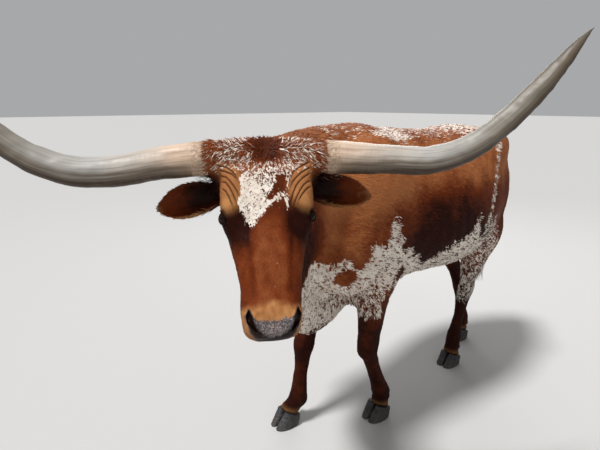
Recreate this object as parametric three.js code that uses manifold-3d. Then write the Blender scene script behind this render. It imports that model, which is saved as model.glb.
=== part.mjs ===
// Texas longhorn steer, life size, standing still with its head turned to its left.
// Millimetres, +Z up. The animal faces -Y and its left side is +X.
// The origin is on the floor, below the middle of the whole animal's box.
import * as THREE from "three";
import Module from "manifold-3d";

const wasm = await Module();
wasm.setup();

// Touching nodes keep this distance from face to face.
const gap = 0.3;
// Edges shorter than this, left by cutting, are closed up.
const shortest = 0.05;

// A station along a limb, neck or trunk: [x, y, z, half width, half depth].
const trunk = {
  line: [
    [0, -670, 975, 150, 270],
    [0, -560, 1000, 200, 345],
    [0, -420, 1026, 250, 380],
    [0, -250, 1052, 285, 350],
    [0, -50, 1045, 318, 343],
    [0, 150, 1040, 325, 345],
    [0, 320, 1090, 292, 312],
    [0, 450, 1120, 250, 285],
    [0, 570, 1150, 188, 228],
    [0, 642, 1182, 132, 155],
  ],
  squareness: 2.25,
  pear: 0.1,
  cap: 85,
  blend: 70,
};

const neckSizes = {
  line: [
    [0, -430, 1130, 200, 282],
    [25, -640, 1125, 176, 292],
    [95, -830, 1146, 142, 262],
    [200, -975, 1186, 114, 216],
    [300, -1072, 1230, 98, 170],
    [365, -1130, 1262, 92, 135],
  ],
  squareness: 2.2,
  blend: 80,
};

// The neck is meshed in a frame of its own, turned the way the neck goes.
const neckFrame = {
  at: [160, -880, 0],
  turn: THREE.MathUtils.degToRad(36),
  box: [[-340, -450, 420], [340, 480, 1560]],
};

// The loose skin from the throat down to the brisket.
const dewlap = {
  line: [
    [352, -1102, 1085, 44, 60],
    [262, -1010, 975, 46, 80],
    [170, -890, 855, 50, 105],
    [95, -780, 745, 57, 120],
    [40, -690, 665, 64, 112],
    [12, -600, 652, 66, 98],
    [0, -500, 705, 66, 80],
  ],
  squareness: 2,
  blend: 60,
};

// Muscles and bony points in pairs, given for the left side.
const bodyMasses = [
  { name: "shoulder blade", at: [170, -455, 1105], r: [84, 165, 262], blend: 80 },
  { name: "upper arm", at: [172, -590, 890], r: [88, 140, 150], blend: 70 },
  { name: "point of shoulder", at: [158, -675, 925], r: [78, 80, 105], blend: 70 },
  { name: "elbow", at: [160, -440, 775], r: [60, 80, 105], blend: 60 },
  { name: "thigh", at: [114, 492, 1020], r: [110, 146, 285], blend: 60 },
  { name: "stifle", at: [175, 400, 850], r: [78, 112, 135], blend: 60 },
  { name: "hook bone", at: [190, 398, 1300], r: [62, 96, 72], blend: 110 },
  { name: "pin bone", at: [82, 672, 1248], r: [46, 60, 52], blend: 80 },
];

const sheath = { name: "sheath", at: [0, 110, 705], r: [42, 125, 48], blend: 50 };

// Half width and half depth at each named place of a leg.
const legSections = {
  fore: {
    coronet: [52, 46], pastern: [39, 38], fetlock: [41, 45], cannon: [31, 37], belowJoint: [35, 40],
    joint: [48, 53], aboveJoint: [48, 54], middle: [56, 70], top: [74, 105],
  },
  hind: {
    coronet: [52, 46], pastern: [39, 38], fetlock: [40, 44], cannon: [29, 33], belowJoint: [34, 44],
    joint: [38, 52], aboveJoint: [37, 54], middle: [62, 88], top: [92, 150],
  },
};

// Where each leg stands and bends; the foot is the middle of the sole, the joint is the
// knee of a foreleg or the hock of a hind leg, and the top is the elbow or the stifle.
const legs = [
  { name: "foreleg_right", kind: "fore", foot: [-138, -702], fetlock: [-113, -638, 130],
    joint: [-112, -602, 384], top: [-160, -490, 770] },
  { name: "foreleg_left", kind: "fore", foot: [104, -322], fetlock: [110, -300, 145],
    joint: [112, -404, 405], top: [160, -430, 770] },
  { name: "hindleg_left", kind: "hind", foot: [62, 372], fetlock: [62, 412, 155],
    joint: [72, 472, 445], top: [170, 405, 830] },
  { name: "hindleg_right", kind: "hind", foot: [-78, 690], fetlock: [-84, 735, 150],
    joint: [-100, 668, 448], top: [-170, 470, 830] },
];

const fetlockPads = { apart: 20, back: 36, drop: 16, r: [19, 18, 28] };
const hockPoint = { back: 46, rise: 22, r: [20, 34, 44] };

// Each foot has two claws with a cleft between them; the top of a claw slopes down to its heel.
const claw = {
  length: 124,
  width: 57,
  cleft: 5,
  front: 74,
  back: 46,
  toeSlope: 0.72,
  heelSlope: 0.16,
  taper: 0.12,
  toeLean: 12,
  fullness: 0.8,
  sides: 14,
};

// The blocks of space that a leg is parted from the trunk by.
const legSpace = {
  fore: { inner: 80, top: 668, front: -105, back: 115 },
  hind: { inner: 0, top: 772, front: -95, back: 215 },
  outer: 420,
  room: 205,
};

// The head's own frame: origin at the top of the poll, -Y out of the face, +Z up along the face.
const headPose = {
  at: [419, -1175, 1405],
  turn: THREE.MathUtils.degToRad(58.8),
  tilt: THREE.MathUtils.degToRad(27),
};

const skull = {
  line: [
    [0, 96, -15, 92, 70],
    [0, 97, -60, 104, 96],
    [0, 99, -120, 106, 99],
    [0, 90, -185, 104, 91],
    [0, 76, -250, 97, 76],
    [0, 66, -310, 84, 66],
    [0, 60, -370, 76, 60],
    [-3, 57, -415, 77, 58],
    [-3, 60, -454, 69, 54],
  ],
  squareness: 2.6,
  cap: 34,
  blend: 25,
};

const jaw = {
  line: [
    [0, 172, -140, 66, 66],
    [0, 166, -215, 66, 62],
    [0, 138, -300, 58, 48],
    [0, 114, -370, 52, 38],
    [-2, 100, -441, 49, 31],
  ],
  squareness: 2.2,
  cap: 30,
  blend: 20,
};

const headMasses = [
  { name: "cheek", at: [66, 145, -190], r: [32, 62, 85], blend: 30 },
  { name: "orbit", at: [89, 54, -181], r: [29, 40, 46], blend: 24 },
  { name: "brow", at: [86, 32, -122], r: [33, 34, 62], blend: 24 },
  { name: "ear base", at: [100, 108, -92], r: [26, 30, 34], blend: 30 },
  { name: "nostril wing", at: [50, 13, -429], r: [22, 15, 26], blend: 10 },
  { name: "upper lip", at: [43, 70, -460], r: [29, 26, 25], blend: 16 },
];

const poll = {
  line: [
    [-152, 36, -30, 47, 47],
    [-75, 44, -23, 47, 47],
    [0, 50, -17, 46, 46],
    [75, 44, -23, 47, 47],
    [152, 36, -30, 47, 47],
  ],
  cap: 20,
  blend: 25,
};

// The opening between the lids runs from the inner corner, near the nose, up and back.
const eye = {
  at: [100, 46, -183],
  radius: 20,
  around: 14,
  over: 8,
  gaze: [0.80, -0.59, -0.08],
  innerCorner: [0, -0.42, -0.91],
  halfOpening: 48,
  lids: [
    { rise: 0.62, thickness: 6 },
    { rise: -0.55, thickness: 4.5 },
  ],
};

const mouth = {
  line: [
    [-66, 98, -350],
    [-67, 94, -392],
    [-65, 90, -434],
    [-49, 87, -469],
    [0, 84, -482],
    [49, 87, -469],
    [65, 90, -434],
    [67, 94, -392],
    [66, 98, -350],
  ],
  depth: 11,
  thickness: 2.2,
};

const nostril = {
  line: [
    [58, 9, -415, 4, 10],
    [57, 9, -429, 8, 17],
    [49, 13, -448, 7, 18],
    [38, 24, -467, 3, 12],
  ],
};

// Each ear is a cupped leaf: centre line, half width and how far its rim curls forward.
const ear = {
  left: [
    [84, 104, -92, 22, 150],
    [118, 112, -95, 30, 125],
    [160, 118, -98, 42, 95],
    [205, 122, -102, 46, 75],
    [250, 126, -107, 38, 62],
    [284, 130, -111, 20, 50],
    [297, 131, -113, 6, 40],
  ],
  right: [
    [-84, 104, -95, 22, 150],
    [-118, 112, -102, 30, 125],
    [-158, 118, -110, 42, 95],
    [-200, 122, -117, 47, 75],
    [-240, 126, -124, 39, 62],
    [-270, 129, -129, 20, 50],
    [-282, 130, -131, 6, 40],
  ],
  thickness: 8,
  innerArc: 0.94,
  faces: [0, -1, -0.12],
  across: 5,
  perSpan: 2,
};

// Horn centre lines from the middle of the base, in the head's turn but not its tilt:
// [out, back, up, radius].
const horn = {
  base: [150, 35, -26],
  left: [
    [0, 0, 0, 44],
    [60, 0, -4, 43],
    [120, 0, -8, 41],
    [196, 0, -11, 38.5],
    [295, -15, -13, 37],
    [390, -31, 19, 34.5],
    [476, -51, 89, 31],
    [561, -64, 182, 26],
    [644, -69, 286, 12],
    [680, -70, 324, 2],
  ],
  right: [
    [0, 0, 0, 44],
    [60, 2, -5, 43],
    [119, 4, -11, 41],
    [217, -7, -27, 38.5],
    [310, -14, -25, 37],
    [399, -13, 5, 34],
    [480, -10, 65, 30],
    [560, -8, 155, 25],
    [640, -8, 268, 12],
    [674, -8, 308, 2],
  ],
  root: 30,
  sides: 14,
  perSpan: 2,
};

const tail = {
  line: [
    [0, 620, 1290, 46, 42],
    [0, 700, 1304, 36, 34],
    [0, 757, 1262, 29, 29],
    [-6, 782, 1150, 25, 25],
    [-20, 790, 980, 21, 21],
    [-32, 790, 800, 18, 18],
  ],
  sides: 10,
  perSpan: 3,
};

// The switch: flat locks that hang round the end of the tail.
const tailSwitch = {
  top: [-33, 790, 818],
  core: { drop: 210, radius: 19 },
  locks: 9,
  length: [250, 360],
  width: 23,
  thickness: 9,
  bow: 22,
  rooted: 6,
  tiers: 3,
  tierDrop: 48,
  wave: 16,
  seed: 11,
};

const cells = {
  torso: [60, 64, 58],
  neck: [34, 46, 44],
  head: [16.4, 16.4, 18.2],
  fore: [25, 27, 40],
  hind: [28, 31, 43],
};

// Catmull-Rom values through a list of number rows.
function resample(rows, perSpan) {
  const out = [];
  const last = rows.length - 1;
  for (let i = 0; i < last; i += 1) {
    const [a, b, c, d] = [rows[Math.max(i - 1, 0)], rows[i], rows[i + 1], rows[Math.min(i + 2, last)]];
    for (let j = 0; j < perSpan; j += 1) {
      const t = j / perSpan;
      out.push(b.map((value, k) => value + (c[k] - value) * t + curveOffset(a[k], b[k], c[k], d[k], t)));
    }
  }
  out.push([...rows[last]]);
  return out;
}

function curveOffset(a, b, c, d, t) {
  const linear = b + (c - b) * t;
  const cubic = 0.5 * (2 * b + (c - a) * t + (2 * a - 5 * b + 4 * c - d) * t * t
    + (3 * b - a - 3 * c + d) * t * t * t);
  return cubic - linear;
}

// Signed distances, negative inside.
function ellipsoid({ at, r }) {
  return (x, y, z) => {
    const [dx, dy, dz] = [x - at[0], y - at[1], z - at[2]];
    const k0 = Math.hypot(dx / r[0], dy / r[1], dz / r[2]);
    const k1 = Math.hypot(dx / (r[0] * r[0]), dy / (r[1] * r[1]), dz / (r[2] * r[2]));
    return k1 > 0 ? (k0 * (k0 - 1)) / k1 : -Math.min(...r);
  };
}

// A limb or trunk along stations, with the half depth measured towards the given axis.
function chain({ line, squareness = 2, pear = 0, cap }, towards) {
  const stations = resample(line, 5);
  const spans = [];
  for (let i = 0; i + 1 < stations.length; i += 1) {
    const from = new THREE.Vector3(...stations[i]);
    const along = new THREE.Vector3(...stations[i + 1]).sub(from);
    const length = along.length();
    along.divideScalar(length);
    const across = new THREE.Vector3().crossVectors(along, new THREE.Vector3(...towards)).normalize();
    const deep = new THREE.Vector3().crossVectors(across, along);
    spans.push({ from, along, across, deep, length, start: stations[i], end: stations[i + 1] });
  }
  const p = new THREE.Vector3();
  return (x, y, z) => {
    let best = Infinity;
    let found = 0;
    spans.forEach((span, index) => {
      p.set(x, y, z).sub(span.from);
      const t = THREE.MathUtils.clamp(p.dot(span.along), 0, span.length);
      const distance = p.addScaledVector(span.along, -t).lengthSq();
      if (distance < best) {
        best = distance;
        found = index;
      }
    });
    const span = spans[found];
    p.set(x, y, z).sub(span.from);
    const raw = p.dot(span.along);
    const t = THREE.MathUtils.clamp(raw, 0, span.length) / span.length;
    const side = THREE.MathUtils.lerp(span.start[3], span.end[3], t);
    const depth = THREE.MathUtils.lerp(span.start[4], span.end[4], t);
    const past = raw - t * span.length;
    const across = Math.abs(p.dot(span.across));
    const up = p.dot(span.deep);
    const width = side * (1 - pear * THREE.MathUtils.clamp(up / depth, -1, 1));
    const end = cap ?? Math.min(side, depth);
    const flat = ((across / width) ** squareness + Math.abs(up / depth) ** squareness) ** (1 / squareness);
    const k = Math.hypot(flat, past / end);
    const off = Math.hypot(across, up, past);
    return k > 0 ? off * (1 - 1 / k) : -end;
  };
}

function join(a, b, k) {
  const h = Math.max(k - Math.abs(a - b), 0) / k;
  return Math.min(a, b) - h * h * k * 0.25;
}

// All the parts of a body, each with its own blend into what comes before it.
function blended(parts) {
  return (x, y, z) => parts.reduce((sum, { field, blend }) => join(sum, field(x, y, z), blend), 1e6);
}

function pair(mass) {
  const mirrored = { ...mass, at: [-mass.at[0], mass.at[1], mass.at[2]] };
  return [mass, mirrored].map((one) => ({ field: ellipsoid(one), blend: mass.blend }));
}

const up = [0, 0, 1];
const forward = [0, -1, 0];

function mix(a, b, t) {
  return a.map((value, axis) => THREE.MathUtils.lerp(value, b[axis], t));
}

// The stations of a leg, from the coronet up to the elbow or the stifle.
function legLine({ kind, foot, fetlock, joint, top }) {
  const coronet = [foot[0], foot[1] + 30, 58];
  const places = {
    coronet,
    pastern: mix(coronet, fetlock, 0.5),
    fetlock,
    cannon: mix(fetlock, joint, 0.42),
    belowJoint: mix(fetlock, joint, 0.82),
    joint,
    aboveJoint: mix(joint, top, 0.2),
    middle: mix(joint, top, 0.58),
    top,
  };
  return Object.entries(legSections[kind]).map(([place, sizes]) => [...places[place], ...sizes]);
}

// Dewclaws behind every fetlock, and the point of the hock on the hind legs.
function legMasses({ kind, fetlock: [x, y, z], joint }) {
  const { apart, back, drop, r } = fetlockPads;
  const pads = [-1, 1].map((sign) => ({ at: [x + sign * apart, y + back, z - drop], r, blend: 18 }));
  const heelAt = [joint[0], joint[1] + hockPoint.back, joint[2] + hockPoint.rise];
  return kind === "hind" ? [...pads, { at: heelAt, r: hockPoint.r, blend: 45 }] : pads;
}

const headMatrix = new THREE.Matrix4().compose(
  new THREE.Vector3(...headPose.at),
  new THREE.Quaternion().setFromEuler(new THREE.Euler(-headPose.tilt, 0, headPose.turn, "ZXY")),
  new THREE.Vector3(1, 1, 1),
);
const headInverse = headMatrix.clone().invert();

// A field given in the head's frame, read at a point of the body's frame.
function inHead(field) {
  const p = new THREE.Vector3();
  return (x, y, z) => {
    p.set(x, y, z).applyMatrix4(headInverse);
    return field(p.x, p.y, p.z);
  };
}

function headField() {
  return blended([
    { field: chain(skull, forward), blend: skull.blend },
    { field: chain(jaw, forward), blend: jaw.blend },
    { field: chain(poll, up), blend: poll.blend },
    ...headMasses.flatMap(pair),
  ]);
}

function bodyField() {
  return blended([
    { field: chain(trunk, up), blend: trunk.blend },
    { field: chain(neckSizes, up), blend: neckSizes.blend },
    { field: chain(dewlap, up), blend: dewlap.blend },
    { field: ellipsoid(sheath), blend: sheath.blend },
    ...bodyMasses.flatMap(pair),
    ...legs.flatMap((leg) => [
      { field: chain({ line: legLine(leg), squareness: 2.1 }, forward), blend: 45 },
      ...legMasses(leg).map((mass) => ({ field: ellipsoid(mass), blend: mass.blend })),
    ]),
  ]);
}

// One closed surface round the inside of a field, made on a grid in the given frame.
function polygonise(field, [low, high], cell, frame = new THREE.Matrix4()) {
  const count = low.map((value, axis) => Math.ceil((high[axis] - value) / cell[axis]) + 1);
  const p = new THREE.Vector3();
  const at = (x, y, z) => {
    p.set(x, y, z).applyMatrix4(frame);
    return field(p.x, p.y, p.z);
  };
  const index = (i, j, k) => (k * count[1] + j) * count[0] + i;
  const values = new Float64Array(count[0] * count[1] * count[2]);
  for (let k = 0; k < count[2]; k += 1) {
    for (let j = 0; j < count[1]; j += 1) {
      for (let i = 0; i < count[0]; i += 1) {
        const edge = i === 0 || j === 0 || k === 0
          || i === count[0] - 1 || j === count[1] - 1 || k === count[2] - 1;
        const value = at(low[0] + i * cell[0], low[1] + j * cell[1], low[2] + k * cell[2]);
        values[index(i, j, k)] = edge ? Math.max(value, 1) : value;
      }
    }
  }
  const corners = [];
  for (let n = 0; n < 8; n += 1) corners.push([n & 1, (n >> 1) & 1, n >> 2]);
  const vertexOf = new Map();
  const positions = [];
  const vertex = (i, j, k) => {
    const key = index(i, j, k);
    if (vertexOf.has(key)) return vertexOf.get(key);
    const sum = [0, 0, 0];
    let crossings = 0;
    corners.forEach((a, n) => {
      for (let axis = 0; axis < 3; axis += 1) {
        if (a[axis]) continue;
        const b = a.map((value, m) => (m === axis ? 1 : value));
        const va = values[index(i + a[0], j + a[1], k + a[2])];
        const vb = values[index(i + b[0], j + b[1], k + b[2])];
        if (va < 0 === vb < 0) continue;
        const t = va / (va - vb);
        for (let m = 0; m < 3; m += 1) sum[m] += a[m] + (m === axis ? t : 0);
        crossings += 1;
      }
    });
    const start = sum.map((value, axis) => low[axis] + ([i, j, k][axis] + value / crossings) * cell[axis]);
    const moved = [...start];
    for (let round = 0; round < 3; round += 1) {
      const value = at(...moved);
      const h = 0.5;
      const slope = [0, 1, 2].map((axis) => {
        const q = [...moved];
        q[axis] += h;
        return (at(...q) - value) / h;
      });
      const size = slope.reduce((total, s) => total + s * s, 0);
      if (size < 0.04) break;
      for (let axis = 0; axis < 3; axis += 1) {
        const step = (-value * slope[axis]) / size;
        const reach = 0.45 * Math.min(...cell);
        moved[axis] = THREE.MathUtils.clamp(moved[axis] + step, start[axis] - reach, start[axis] + reach);
      }
    }
    vertexOf.set(key, positions.length / 3);
    positions.push(...moved);
    return vertexOf.get(key);
  };
  const faces = [];
  const quad = (a, b, c, d, flip) => {
    const point = (n) => new THREE.Vector3().fromArray(positions, n * 3);
    const [pa, pb, pc, pd] = [a, b, c, d].map(point);
    const order = pa.distanceTo(pc) <= pb.distanceTo(pd) ? [[a, b, c], [a, c, d]] : [[a, b, d], [b, c, d]];
    order.forEach(([u, v, w]) => faces.push(...(flip ? [u, w, v] : [u, v, w])));
  };
  for (let k = 0; k < count[2] - 1; k += 1) {
    for (let j = 0; j < count[1] - 1; j += 1) {
      for (let i = 0; i < count[0] - 1; i += 1) {
        const inside = values[index(i, j, k)] < 0;
        if (j && k && inside !== values[index(i + 1, j, k)] < 0) {
          quad(vertex(i, j - 1, k - 1), vertex(i, j, k - 1), vertex(i, j, k), vertex(i, j - 1, k), !inside);
        }
        if (i && k && inside !== values[index(i, j + 1, k)] < 0) {
          quad(vertex(i - 1, j, k - 1), vertex(i - 1, j, k), vertex(i, j, k), vertex(i, j, k - 1), !inside);
        }
        if (i && j && inside !== values[index(i, j, k + 1)] < 0) {
          quad(vertex(i - 1, j - 1, k), vertex(i, j - 1, k), vertex(i, j, k), vertex(i - 1, j, k), !inside);
        }
      }
    }
  }
  return geometryOf(positions, faces);
}

function geometryOf(positions, faces) {
  const geometry = new THREE.BufferGeometry();
  geometry.setAttribute("position", new THREE.Float32BufferAttribute(positions, 3));
  geometry.setIndex(faces);
  return geometry;
}

// Rings of points joined into one closed skin, with a fan over each end.
function loft(rings) {
  const sides = rings[0].length;
  const positions = rings.flat().flatMap((p) => [p.x, p.y, p.z]);
  const faces = [];
  for (let r = 0; r + 1 < rings.length; r += 1) {
    for (let s = 0; s < sides; s += 1) {
      const next = (s + 1) % sides;
      const [a, b, c, d] = [r * sides + s, r * sides + next, (r + 1) * sides + next, (r + 1) * sides + s];
      faces.push(a, b, c, a, c, d);
    }
  }
  [0, rings.length - 1].forEach((r) => {
    const middle = new THREE.Vector3();
    rings[r].forEach((p) => middle.addScaledVector(p, 1 / sides));
    const centre = positions.length / 3;
    positions.push(middle.x, middle.y, middle.z);
    for (let s = 0; s < sides; s += 1) {
      const [a, b] = [r * sides + s, r * sides + ((s + 1) % sides)];
      faces.push(...(r === 0 ? [centre, b, a] : [centre, a, b]));
    }
  });
  return geometryOf(positions, faces);
}

// A tube of changing elliptical section along stations; half depths point towards the axis.
function sweep(line, sides, perSpan, towards) {
  const stations = resample(line, perSpan);
  const points = stations.map((row) => new THREE.Vector3(row[0], row[1], row[2]));
  const rings = stations.map((row, index) => {
    const before = points[Math.max(index - 1, 0)];
    const after = points[Math.min(index + 1, points.length - 1)];
    const along = after.clone().sub(before).normalize();
    const across = new THREE.Vector3().crossVectors(along, new THREE.Vector3(...towards)).normalize();
    const deep = new THREE.Vector3().crossVectors(across, along);
    const ring = [];
    for (let s = 0; s < sides; s += 1) {
      const angle = (s / sides) * Math.PI * 2;
      ring.push(points[index].clone()
        .addScaledVector(across, Math.cos(angle) * row[3])
        .addScaledVector(deep, -Math.sin(angle) * row[row.length > 4 ? 4 : 3]));
    }
    return ring;
  });
  return loft(rings);
}

function solidOf(geometry) {
  const triVerts = new Uint32Array(geometry.index.array);
  const vertProperties = new Float32Array(geometry.attributes.position.array);
  const solid = new wasm.Manifold(new wasm.Mesh({ numProp: 3, vertProperties, triVerts }));
  if (solid.volume() > 0) return solid;
  for (let i = 0; i < triVerts.length; i += 3) {
    [triVerts[i + 1], triVerts[i + 2]] = [triVerts[i + 2], triVerts[i + 1]];
  }
  return new wasm.Manifold(new wasm.Mesh({ numProp: 3, vertProperties, triVerts }));
}

function largest(solid) {
  return solid.decompose().reduce((best, body) => (body.volume() > best.volume() ? body : best));
}

// The mesh of a solid, with edges too short to keep drawn together to one point.
function geometryFrom(solid) {
  const { vertProperties, triVerts } = solid.getMesh();
  const owner = [...Array(vertProperties.length / 3).keys()];
  const find = (n) => {
    let root = n;
    while (owner[root] !== root) root = owner[root];
    return root;
  };
  const place = (n) => new THREE.Vector3().fromArray(vertProperties, n * 3);
  const near = owner.map(() => new Set());
  const edges = [];
  for (let i = 0; i < triVerts.length; i += 3) {
    for (let side = 0; side < 3; side += 1) {
      const [a, b] = [triVerts[i + side], triVerts[i + ((side + 1) % 3)]];
      near[a].add(b);
      near[b].add(a);
      if (a < b && place(a).distanceTo(place(b)) < shortest) edges.push([a, b]);
    }
  }
  edges.forEach(([first, second]) => {
    const [a, b] = [find(first), find(second)];
    // Points that share more than two neighbours would pinch the surface if they met.
    if (a === b || [...near[a]].filter((n) => near[b].has(n)).length > 2) return;
    owner[b] = a;
    near[b].forEach((n) => {
      near[n].delete(b);
      if (n === a) return;
      near[n].add(a);
      near[a].add(n);
    });
  });
  const faces = [];
  for (let i = 0; i < triVerts.length; i += 3) {
    const [a, b, c] = [0, 1, 2].map((side) => find(triVerts[i + side]));
    if (a !== b && b !== c && c !== a) faces.push(a, b, c);
  }
  return geometryOf([...vertProperties], faces);
}

// A big block whose face lies on the plane through a point, on the side its normal points to.
function halfSpace(point, normal, margin = gap / 2) {
  const size = 6000;
  const direction = new THREE.Vector3(...normal).normalize();
  const block = new THREE.BoxGeometry(size, size, size);
  const turned = new THREE.Quaternion().setFromUnitVectors(new THREE.Vector3(0, 0, 1), direction);
  block.applyQuaternion(turned);
  const centre = new THREE.Vector3(...point).addScaledVector(direction, size / 2 + margin);
  block.translate(centre.x, centre.y, centre.z);
  return solidOf(welded(block));
}

function welded(geometry) {
  const seen = new Map();
  const positions = [];
  const source = geometry.attributes.position;
  const order = geometry.index ? [...geometry.index.array] : [...Array(source.count).keys()];
  const faces = order.map((n) => {
    const place = [source.getX(n), source.getY(n), source.getZ(n)];
    const key = place.map((value) => Math.round(value * 1000)).join();
    if (!seen.has(key)) {
      seen.set(key, positions.length / 3);
      positions.push(...place);
    }
    return seen.get(key);
  });
  const kept = [];
  for (let i = 0; i < faces.length; i += 3) {
    const [a, b, c] = faces.slice(i, i + 3);
    if (a !== b && b !== c && c !== a) kept.push(a, b, c);
  }
  return geometryOf(positions, kept);
}

// Planes between neighbouring nodes: [point, normal], the normal towards the head.
const planes = {
  head: [[318, -1112, 1240], [0.8, -0.58, 0.22]],
  neck: [[10, -690, 1000], [0.2, -1, 0.307]],
};

function opposite([point, normal]) {
  return [point, normal.map((value) => -value)];
}

function cutTo(solid, ...sides) {
  return largest(sides.reduce((rest, side) => rest.intersect(halfSpace(...side)), solid));
}

function block([x0, y0, z0], [x1, y1, z1]) {
  const geometry = new THREE.BoxGeometry(x1 - x0, y1 - y0, z1 - z0);
  geometry.translate((x0 + x1) / 2, (y0 + y1) / 2, (z0 + z1) / 2);
  return solidOf(welded(geometry));
}

const material = {
  coat: { color: 0x6b2a14, roughness: 0.75, metalness: 0 },
  horn: { color: 0xb8a68c, roughness: 0.45, metalness: 0 },
  claw: { color: 0x2b2b30, roughness: 0.5, metalness: 0 },
  eye: { color: 0x120a08, roughness: 0.08, metalness: 0 },
};

function addMesh(parent, name, geometry, look) {
  const mesh = new THREE.Mesh(geometry, new THREE.MeshStandardMaterial(look));
  geometry.computeVertexNormals();
  mesh.name = name;
  parent.add(mesh);
  return mesh;
}

const bothSides = [["left", 1], ["right", -1]];
const body = bodyField();
const headAndNeck = blended([{ field: body, blend: 1 }, { field: inHead(headField()), blend: 40 }]);

const longhorn = new THREE.Group();
const headGroup = new THREE.Group();
headGroup.applyMatrix4(headMatrix);
longhorn.add(headGroup);

// The space of one leg, grown by a margin on its upper and inner faces.
function legBlock({ kind, foot, joint, top }, margin) {
  const { inner, top: height, front, back } = legSpace[kind];
  const side = Math.sign(foot[0]);
  const near = side * (inner - margin);
  const far = side * legSpace.outer;
  const ys = [foot[1], joint[1], top[1]];
  return block(
    [Math.min(near, far), Math.min(...ys) + front, -20],
    [Math.max(near, far), Math.max(...ys) + back, height + margin],
  );
}

function addTorso() {
  const whole = solidOf(polygonise(body, [[-440, -980, 420], [440, 900, 1500]], cells.torso));
  const trimmed = cutTo(whole, opposite(planes.neck));
  const torso = largest(legs.reduce((rest, leg) => rest.subtract(legBlock(leg, gap / 2)), trimmed));
  addMesh(longhorn, "torso", geometryFrom(torso), material.coat);
  return torso;
}

function addNeck() {
  const frame = new THREE.Matrix4().makeRotationZ(neckFrame.turn).setPosition(...neckFrame.at);
  const skin = polygonise(headAndNeck, neckFrame.box, cells.neck, frame).applyMatrix4(frame);
  const neck = cutTo(solidOf(skin), planes.neck, opposite(planes.head));
  addMesh(longhorn, "neck", geometryFrom(neck), material.coat);
}

// The slope that the tops of a foot's claws lie on.
function coronetPlane([x, y]) {
  const frontEdge = -claw.length / 2 + claw.front * claw.toeSlope;
  const backEdge = claw.length / 2 + claw.back * claw.heelSlope;
  const fall = (claw.front - claw.back) / (backEdge - frontEdge);
  return [[x, y + backEdge, claw.back + gap], [0, fall, 1]];
}

function addLeg(leg) {
  const { foot, fetlock, joint, top, kind } = leg;
  const side = Math.sign(foot[0]);
  const xs = [foot[0], joint[0], top[0], side * legSpace[kind].inner];
  const ys = [foot[1], fetlock[1], joint[1], top[1]];
  const { room } = legSpace;
  const low = [Math.min(...xs) - room, Math.min(...ys) - room, 20];
  const high = [Math.max(...xs) + room, Math.max(...ys) + room, legSpace[kind].top + 60];
  const whole = solidOf(polygonise(body, [low, high], cells[kind]));
  const solid = cutTo(whole.intersect(legBlock(leg, -gap / 2)), coronetPlane(foot));
  addMesh(longhorn, leg.name, geometryFrom(solid), material.coat);
}

// One claw of a pair, its sole on the floor and its toe towards -Y.
function clawGeometry(side) {
  const { length, width, cleft, front, back, toeSlope, heelSlope } = claw;
  const { taper, toeLean, fullness, sides } = claw;
  const rings = [0, 0.5, 1].map((level) => {
    const ring = [];
    for (let s = 0; s < sides; s += 1) {
      const angle = (-side * s * Math.PI * 2) / sides;
      const along = Math.cos(angle);
      const toe = (1 - along) / 2;
      const wide = Math.sign(Math.sin(angle)) * Math.abs(Math.sin(angle)) ** fullness;
      const top = THREE.MathUtils.lerp(back, front, toe);
      const z = level * top;
      const slope = THREE.MathUtils.lerp(heelSlope, toeSlope, toe);
      const lean = toe * toe * toeLean * (1 - 0.5 * level);
      const x = Math.max(cleft / 2 + (width / 2) * (1 + wide * (1 - taper * level)) - lean, cleft / 2);
      ring.push(new THREE.Vector3(x * side, (along * length) / 2 + z * slope, z));
    }
    return ring;
  });
  return loft(rings);
}

function addClaws({ name, foot: [x, y] }) {
  const footGroup = new THREE.Group();
  footGroup.position.set(x, y, 0);
  longhorn.add(footGroup);
  bothSides.forEach(([word, side]) => {
    addMesh(footGroup, `claw_${name}_${word}`, clawGeometry(side), material.claw);
  });
}

// Lids: an arc over and an arc under the opening, close on the ball.
function lidSolids(centre, sign) {
  const gaze = new THREE.Vector3(...eye.gaze).normalize();
  const corner = new THREE.Vector3(...eye.innerCorner);
  corner.addScaledVector(gaze, -corner.dot(gaze)).normalize();
  const above = new THREE.Vector3().crossVectors(gaze, corner).normalize();
  if (above.y > 0) above.negate();
  const reach = Math.tan(THREE.MathUtils.degToRad(eye.halfOpening));
  return eye.lids.map(({ rise, thickness }) => {
    const line = [];
    for (let n = -3; n <= 3; n += 1) {
      const t = n / 3;
      const d = gaze.clone().addScaledVector(corner, reach * t).addScaledVector(above, rise * (1 - t * t));
      d.normalize().multiplyScalar(eye.radius + 1);
      line.push([centre[0] + d.x * sign, centre[1] + d.y, centre[2] + d.z, thickness, thickness]);
    }
    return solidOf(sweep(line, 6, 1, [sign * gaze.x, gaze.y, gaze.z]));
  });
}

function mirrorRow([x, ...rest], sign) {
  return [x * sign, ...rest];
}

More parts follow.
